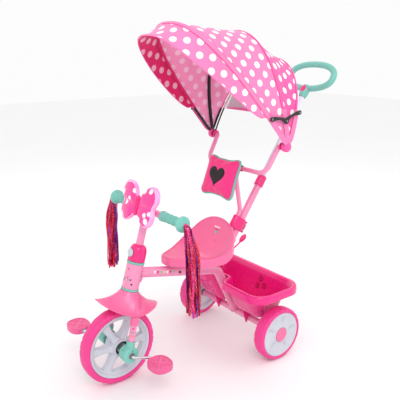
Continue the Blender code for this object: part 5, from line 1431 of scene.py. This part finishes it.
def back_rows(columns=16, steps=72):
    angle = REAR_BOW[0]
    rows, flat = [], []
    hem = 0.100
    for i in range(columns + 1):
        level = i / columns
        row, line = [], []
        for k, t in enumerate(arch_steps(REAR_BOW, hem + 0.004, steps, -0.006)):
            edge = arch_point((0.0, *REAR_BOW[1:]), BOW_REACH - 0.006, t, -0.006)
            rise = hem + (abs(edge.y) - hem) * level
            bulge = 0.018 * math.sin(math.pi * level) * math.sin(math.pi * k / steps)
            behind = 0.0044 + bulge
            row.append(Vector((edge.x, -rise * math.cos(angle) + behind * math.sin(angle),
                               rise * math.sin(angle) + behind * math.cos(angle))))
            line.append(Vector((edge.x, rise)))
        rows.append(row)
        flat.append(line)
    return rows, flat


def ridge_band(name, centre, side_a, side_b, body, mat, half=0.0082, lift=0.0016, crown=0.0010, skip=0):
    """Cloth sleeve folded over a ridge: its two halves lie on the cloth at either side."""
    last = len(centre) - 1
    rows = []
    for k in range(skip, len(centre) - skip):
        along = (centre[min(k + 1, last)] - centre[max(k - 1, 0)]).normalized()
        frames = []
        for side, sign in ((side_a[k], 1.0), (side_b[k], -1.0)):
            out = (side - along * side.dot(along)).normalized()
            normal = along.cross(out) * sign
            if normal.dot(centre[k]) < 0.0:
                normal = -normal
            frames.append((out, normal))
        ridge = (frames[0][1] + frames[1][1]).normalized()
        ring = []
        for level in (lift, lift - 0.0011):
            loop = [centre[k] + frames[0][0] * (half * s) + frames[0][1] * (level + crown * (1 - s * s))
                    for s in (1.0, 0.9, 0.6, 0.3)]
            loop.append(centre[k] + ridge * (level + crown))
            loop += [centre[k] + frames[1][0] * (half * s) + frames[1][1] * (level + crown * (1 - s * s))
                     for s in (0.3, 0.6, 0.9, 1.0)]
            ring += loop if level == lift else loop[::-1]
        rows.append(ring)
    return piece(name, skin(rows), mat, body, TIPS, sharp=50.0)


def row_steps(rows, first, second):
    return [b - a for a, b in zip(rows[first], rows[second])]


def unit_normals(rows, i):
    """Outward unit normals of the cloth along one row."""
    result = []
    last = len(rows[i]) - 1
    for j in range(last + 1):
        along = rows[i][min(j + 1, last)] - rows[i][max(j - 1, 0)]
        down = rows[min(i + 1, len(rows) - 1)][j] - rows[max(i - 1, 0)][j]
        normal = along.cross(down).normalized()
        result.append(normal if normal.dot(rows[i][j]) > 0.0 else -normal)
    return result


def canopy():
    front_rows, front_flat = panel_rows(FRONT_BOW, MIDDLE_BOW, 0.004)
    rear_rows, rear_flat = panel_rows(MIDDLE_BOW, REAR_BOW, 0.009)
    brim_rows, brim_flat = visor_rows()
    wall_rows, wall_flat = back_rows()
    front, front_cut, front_area = cloth_sheet("canopy_cloth_front", front_rows, front_flat,
                                               [CANOPY_FRONT, INSIDE_PANEL], None, ["canopy_front_panel"],
                                               0.0016, 1.7)
    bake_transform(front)
    rear, rear_cut, rear_area = cloth_sheet("canopy_cloth_rear", rear_rows, rear_flat,
                                            [CANOPY_REAR, INSIDE_PANEL], None, ["canopy_rear_panel"],
                                            0.0022, 5.1)
    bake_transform(rear)
    brim, brim_cut, brim_area = cloth_sheet("canopy_cloth_visor", brim_rows, brim_flat,
                                            [CANOPY_FRONT, INSIDE_VISOR], "front_bow", ["canopy_visor"],
                                            0.0008, 9.3)
    wall, wall_cut, wall_area = cloth_sheet("canopy_cloth_back", wall_rows, wall_flat,
                                            [CANOPY_BACK, INSIDE_BACK], "frame", ["canopy_back_wall"],
                                            0.0016, 2.9)

    # seams: a sleeve over each bow, with a cord along both its edges
    lines = (("front", front_rows, 0, 1, None, "front_bow", CANOPY_FRONT),
             ("middle", front_rows, -1, -3, row_steps(rear_rows, 0, 2), "middle_bow", CANOPY_REAR),
             ("rear", rear_rows, -1, -3, None, "frame", CANOPY_REAR))
    for word, rows, edge, inward, other, body, mat in lines:
        centre = rows[edge]
        side_a = row_steps(rows, edge, inward)
        angle = {"front": FRONT_BOW, "middle": MIDDLE_BOW, "rear": REAR_BOW}[word][0]
        if word == "front":
            other = [Vector((0.0, -math.sin(angle), -math.cos(angle)))] * len(centre)
        if word == "rear":
            behind = Vector((0.0, math.sin(angle), math.cos(angle)))
            inward = Vector((0.0, -math.cos(angle), math.sin(angle)))
            other = [behind - 0.7 * inward] * len(centre)
        half = {"front": 0.0082, "middle": 0.0055, "rear": 0.0040}[word]
        ridge_band(f"canopy_sleeve_{word}", centre, side_a, other, body, mat, half, skip=2)
        for number, side in enumerate((side_a, other)):
            last = len(centre) - 1
            path = []
            for k in range(3, len(centre) - 3):
                along = (centre[min(k + 1, last)] - centre[max(k - 1, 0)]).normalized()
                out = (side[k] - along * side[k].dot(along)).normalized()
                normal = along.cross(out)
                normal = normal if normal.dot(centre[k]) > 0.0 else -normal
                path.append(centre[k] + out * half + normal * 0.0012)
            piece(f"canopy_seam_{word}_{number}", pipe(path, 0.0010, 8), SEAM, body, TIPS)

    # hems: bound edges of the visor and the back wall
    piece("canopy_visor_binding", pipe(brim_rows[-1], (0.0022, 0.0014), 12), HEM, "front_bow", TIPS)
    hem_rows = [[point + normal * lift for point, normal in zip(wall_rows[i], unit_normals(wall_rows, i))]
                for lift in (0.0012, -0.0012) for i in (0, 1)]
    band = skin([hem_rows[0], hem_rows[1], hem_rows[3], hem_rows[2]], closed=True, wrap=False)
    piece("canopy_back_hem", band, HEM, "frame", TIPS)

    # bows, flat tapes sewn inside the cloth along them, and strips over their ends outside it
    bows = (("rear", REAR_BOW, "frame"), ("middle", MIDDLE_BOW, "middle_bow"),
            ("front", FRONT_BOW, "front_bow"))
    for layer, (word, setting, body) in enumerate(bows):
        half_width = BOW_REACH + layer * 0.006
        rod = pipe([arch_point(setting, half_width, t) for t in arch_steps(setting, 0.009, 90)], 0.0028, 14)
        eyes = []
        for side in (1, -1):
            eye = lathe([(0.0042, side * (half_width - 0.0024)), (0.0105, side * (half_width - 0.0024)),
                         (0.0105, side * (half_width + 0.0024)), (0.0042, side * (half_width + 0.0024))], 36)
            eyes.append((eye, ALONG_X))
        piece(f"canopy_bow_{word}", join(rod, *eyes), BLACK, body, TIPS, [f"{word}_bow"])
        cover = {"front": INSIDE_VISOR, "middle": INSIDE_PANEL, "rear": INSIDE_BACK}[word]
        low = {"front": 0.135, "middle": 0.305, "rear": 0.100}[word]
        path = [arch_point(setting, half_width - 0.0004, t, 0.0002) for t in arch_steps(setting, low, 90)]
        piece(f"canopy_casing_{word}", pipe(path, 0.0043, 16), cover, body, TIPS)
    start = 0.014
    for stop, (word, setting, body) in zip((0.130, 0.300, 0.098), reversed(bows)):
        angle = setting[0]
        across = Vector((0.0, math.sin(angle), math.cos(angle)))
        bands = (("tape", 0.0045, -0.0016, stop, WEBBING), ("tip_strip", 0.0095, 0.0046, 0.125, HEM))
        for label, half, lift, reach, mat in bands:
            strips = []
            for side in (1, -1):
                low = math.asin((start / setting[1]) ** (setting[2] / 2.0))
                high = math.asin(min(1.0, reach / setting[1]) ** (setting[2] / 2.0))
                rows = []
                for k in range(25):
                    t = low + (high - low) * k / 24.0
                    point = arch_point(setting, CANOPY_HALF_WIDTH + lift, t, -0.0008)
                    point.x *= side
                    inward = Vector((-side, 0.0, 0.0)) * 0.0009
                    wide = half * min(1.0, 0.5 + k / 6.0)
                    rows.append([point - across * wide, point + across * wide,
                                 point + across * wide + inward, point - across * wide + inward])
                strips.append(skin(rows))
            piece(f"canopy_{label}_{word}", join(*strips), mat, body, TIPS)

    # yoke, stem and pins
    yoke = bend_path([(YOKE_TIP_X, TIP_Y, TIP_Z), (0.150, YOKE_Y, YOKE_Z), (-0.150, YOKE_Y, YOKE_Z),
                      (-YOKE_TIP_X, TIP_Y, TIP_Z)], [0.036, 0.036], 12)
    piece("canopy_yoke_bar", pipe(yoke, 0.008, 28), PAINT, "frame", WORLD, ["canopy_yoke"])
    turn = POLE.to_3x3()
    base = Vector((0.0, POLE_FOOT_Y, POLE_FOOT_Z))
    stem_path = [base + turn @ Vector((0.0, -0.0255, height)) for height in (0.132, 0.203)]
    stem_path = bend_path([*stem_path, (0.0, YOKE_Y, YOKE_Z - 0.0084)], [0.030], 12)
    piece("canopy_stem_bar", pipe(stem_path, 0.008, 28), PAINT, "frame", WORLD, ["canopy_stem"])
    knot = pipe([(0.0088 * math.sin(a), YOKE_Y + 0.0088 * math.cos(a),
                  YOKE_Z - 0.0086 + 0.0014 * math.sin(a) ** 2) for a in circle(36)], 0.0019, 10, closed=True)
    piece("canopy_stem_weld", knot, PAINT, "frame")
    for word, side in (("left", 1), ("right", -1)):
        low = YOKE_TIP_X + 0.0084
        high = YOKE_TIP_X + 0.0335
        pin = lathe([(0.0, low), (0.0130, low), (0.0130, low + 0.006), (0.0036, low + 0.006), (0.0036, high),
                     (0.0, high)], 48)
        mirror = Matrix.Scale(side, 4, (1.0, 0.0, 0.0))
        piece(f"canopy_pin_{word}_turned", pin, HOT, "frame", TIPS @ mirror @ ALONG_X,
              [f"canopy_pin_{word}"])
        pocket = lathe([(0.0105, high - 0.012), (0.0160, high - 0.012), (0.0166, high + 0.002),
                        (0.0140, high + 0.0062), (0.0060, high + 0.0078), (0.0, high + 0.0080),
                        (0.0, high + 0.0066), (0.0132, high + 0.0048), (0.0152, high + 0.001),
                        (0.0148, high - 0.0108), (0.0105, high - 0.0108)], 48, 0.0012)
        piece(f"canopy_tip_pocket_{word}", pocket, CANOPY_REAR, "frame", TIPS @ mirror @ ALONG_X)


def spreaders():
    """Moulded gull-wing levers with silver rivets and the disc of the opened elbow."""
    front = Vector((0.0, -0.127 * math.cos(FRONT_BOW[0]), 0.127 * math.sin(FRONT_BOW[0])))
    rear = Vector((0.0, -0.117 * math.cos(REAR_BOW[0]), 0.117 * math.sin(REAR_BOW[0])))
    across = rear - front
    drop = math.sqrt(0.0655 ** 2 - (across.length / 2.0) ** 2)
    elbow = (front + rear) / 2.0 + Vector((0.0, across.z, -across.y)).normalized() * drop
    low = CANOPY_HALF_WIDTH + 0.0035
    for word, side in (("left", 1), ("right", -1)):
        mirror = Matrix.Scale(side, 4, (1.0, 0.0, 0.0))
        for name, start, face in (("rear", rear, low), ("front", front, low + 0.0036)):
            along = elbow - start
            aside = Vector((0.0, -along.z, along.y)).normalized()
            if aside.dot(start + elbow) < 0.0:
                aside = -aside
            rings = []
            for k in range(25):
                share = k / 24.0
                middle = start + along * share + aside * (0.005 * math.sin(math.pi * share))
                half = 0.0062 + 0.0016 * math.cos(2.0 * math.pi * share)
                taper = min(1.0, 4.0 * share + 0.55, 4.0 * (1.0 - share) + 0.75)
                rings.append([middle + aside * (half * taper * signed_power(math.cos(a), 0.8))
                              + Vector((face + 0.0017 + 0.0017 * signed_power(math.sin(a), 0.6), 0.0, 0.0))
                              for a in circle(24)])
            ends = []
            for spot, radius in ((start, 0.0074), (elbow, 0.0090)):
                disc = turned(0.0, radius, face, face + 0.0034, 40, 0.0008)
                ends.append((disc, Matrix.Translation(spot) @ ALONG_X))
            piece(f"spreader_{name}_{word}_lever", join(skin(rings), *ends), BLACK, f"spreader_{name}_{word}",
                  TIPS @ mirror, [f"spreader_{name}_{word}"])
            top = face + 0.0034
            for number, spot in enumerate((start, elbow) if name == "front" else (start,)):
                head = lathe([(0.0, top), (0.0036, top), (0.0028, top + 0.0012), (0.0, top + 0.0018)],
                             28, 0.0006)
                piece(f"spreader_rivet_{name}_{word}_{number}", head, STEEL, f"spreader_{name}_{word}",
                      TIPS @ mirror @ Matrix.Translation(spot) @ ALONG_X)


# ------------------------------------------------------------------ cushion
def cushion_form(width, depth, height):
    """Soft rounded block whose sides pull in between its corners."""
    rings = []
    for k in range(13):
        level = -1.0 + 2.0 * k / 12.0
        scale = (1.0 - abs(level) ** 3.2) ** 0.5 * 0.34 + 0.66 if abs(level) < 1.0 else 0.60
        ring = []
        for i in range(64):
            t = 2.0 * math.pi * i / 64
            x, z = signed_power(math.cos(t), 0.27), signed_power(math.sin(t), 0.27)
            pull = 1.0 - 0.070 * (1.0 - abs(math.sin(2.0 * t)))
            ring.append((x * width / 2.0 * scale * pull, level * depth / 2.0,
                         z * height / 2.0 * scale * pull))
        rings.append(ring)
    return skin(rings)


def cushion():
    place = Matrix.Translation((0.0, Y0 + 0.425, 0.617)) @ Matrix.Rotation(math.radians(-20.0), 4, "X")
    bm = fused(cushion_form(0.168, 0.034, 0.142), 0.005, 2)
    mesh = bpy.data.meshes.new("head_cushion_padded")
    bm.to_mesh(mesh)
    bm.free()
    obj = bpy.data.objects.new("head_cushion_padded", mesh)
    bpy.context.scene.collection.objects.link(obj)
    rest = [vert.co.copy() for vert in mesh.vertices]
    last_frame, swell_limit = 20, 0.007
    soft = obj.modifiers.new("soft", "CLOTH")
    soft.settings.quality = 5
    soft.settings.mass = 0.2
    soft.settings.use_pressure = True
    soft.settings.uniform_pressure_force = 4.0
    soft.settings.effector_weights.gravity = 0.0
    soft.point_cache.frame_start = 1
    soft.point_cache.frame_end = last_frame
    for number in range(1, last_frame + 1):
        bpy.context.scene.frame_set(number)
    swollen = [vert.co.copy() for vert in
               obj.evaluated_get(bpy.context.evaluated_depsgraph_get()).data.vertices]
    obj.modifiers.remove(soft)
    bpy.context.scene.frame_set(1)
    for vert, start, end in zip(mesh.vertices, rest, swollen):
        move = end - start
        vert.co = start + move * min(1.0, swell_limit / max(move.length, 1e-9))
    for vert in mesh.vertices:
        point = vert.co
        crease = noise.noise(point * 42.0) + 0.5 * noise.noise(point * 95.0)
        vert.co = point + Vector((0.0, math.copysign(1.0, point.y), 0.0)) * (0.0008 * crease)
    smooth = obj.modifiers.new("smooth", "SUBSURF")
    smooth.levels = 1
    smooth.render_levels = 1
    bpy.context.view_layer.update()
    tree = BVHTree.FromObject(obj, bpy.context.evaluated_depsgraph_get())
    mesh.transform(place)
    mesh.materials.append(CUSHION)
    mesh.shade_smooth()
    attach(obj, "frame")
    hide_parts("head_cushion")

    def outside(angle, depth):
        out = Vector((math.cos(angle), 0.0, math.sin(angle)))
        hit = tree.ray_cast(out * 0.2 + Vector((0.0, depth, 0.0)), -out)[0]
        return hit if hit else out * 0.07
    loop = [outside(2.0 * math.pi * k / 160, 0.0) for k in range(160)]
    piece("head_cushion_piping", pipe(loop, 0.0042, 14, closed=True), PIPING, "frame", place)
    for number, depth in enumerate((-0.0055, 0.0055)):
        seam = [outside(2.0 * math.pi * k / 160, depth) for k in range(160)]
        piece(f"head_cushion_seam_{number}", pipe(seam, 0.0006, 6, closed=True), SEAM, "frame", place)

    def on_face(x, z, lift):
        hit = tree.ray_cast(Vector((x, -0.2, z)), Vector((0.0, 1.0, 0.0)))[0]
        return Vector((x, (hit.y if hit else -0.02) - lift, z))
    rows = []
    for share in (1.0, 0.92, 0.75, 0.5, 0.25, 0.04):
        row = []
        for k in range(64):
            t = 2.0 * math.pi * k / 64
            x = 16.0 * math.sin(t) ** 3
            z = 13.0 * math.cos(t) - 5.0 * math.cos(2 * t) - 2.0 * math.cos(3 * t) - math.cos(4 * t)
            row.append(on_face(x * 0.0024 * share, (z * 0.0024 + 0.002) * share,
                               0.0002 if share == 1.0 else 0.0010))
        rows.append(row)
    piece("head_cushion_heart", skin(rows), WEBBING, "frame", place)
    for side in (1, -1):
        strap = []
        start = outside(math.pi / 2.0 - side * 0.38, 0.004)
        end = place.inverted() @ (WORLD @ Vector((side * 0.033, YOKE_Y, YOKE_Z + 0.010)))
        middle = (start + end) / 2.0 + Vector((0.0, -0.004, 0.006))
        route = [start - Vector((0, 0, 0.006)), start + Vector((0, 0.002, 0.004)), middle, end]
        for point in smooth_curve(route, 8):
            strap.append([point + Vector((a, b, 0.0)) for a, b in ((-0.009, -0.0007), (0.009, -0.0007),
                                                                   (0.009, 0.0007), (-0.009, 0.0007))])
        word = "left" if side > 0 else "right"
        piece(f"cushion_strap_{word}", skin(strap), WEBBING if side > 0 else CUSHION, "frame", place)
        wrap = pipe([(side * 0.033, YOKE_Y + 0.0094 * math.cos(a), YOKE_Z + 0.0094 * math.sin(a))
                     for a in circle(40)], (0.009, 0.0008), 16, closed=True,
                    flat=(1.0, 0.0, 0.0))
        piece(f"cushion_strap_{word}_wrap", wrap, WEBBING if side > 0 else CUSHION, "frame")


make_stage()
make_camera()
dress_cad()
front_wheel()
fork()
fender()
head_set()
stem()
butterfly_light()
FOILS = [foil("foil_red", rgb(200, 6, 36), rgb(255, 120, 150)),
         foil("foil_pink", rgb(230, 20, 110), rgb(255, 170, 210)),
         foil("foil_magenta", rgb(196, 16, 130), rgb(245, 140, 230)),
         foil("foil_violet", rgb(104, 20, 124), rgb(190, 120, 245)),
         foil("foil_purple", rgb(160, 20, 150), rgb(225, 140, 250))]
for side_word, side_sign in (("left", 1), ("right", -1)):
    pedal(side_word, side_sign)
    rear_wheel(side_word, side_sign)
    hub_cover(side_word, side_sign)
    grip(side_word, side_sign)
    tassel(side_word, side_sign, FOILS)
frame_tubes()
seat()
basket()
push_pole()
clamp()
hand_screw()
canopy()
spreaders()
cushion()
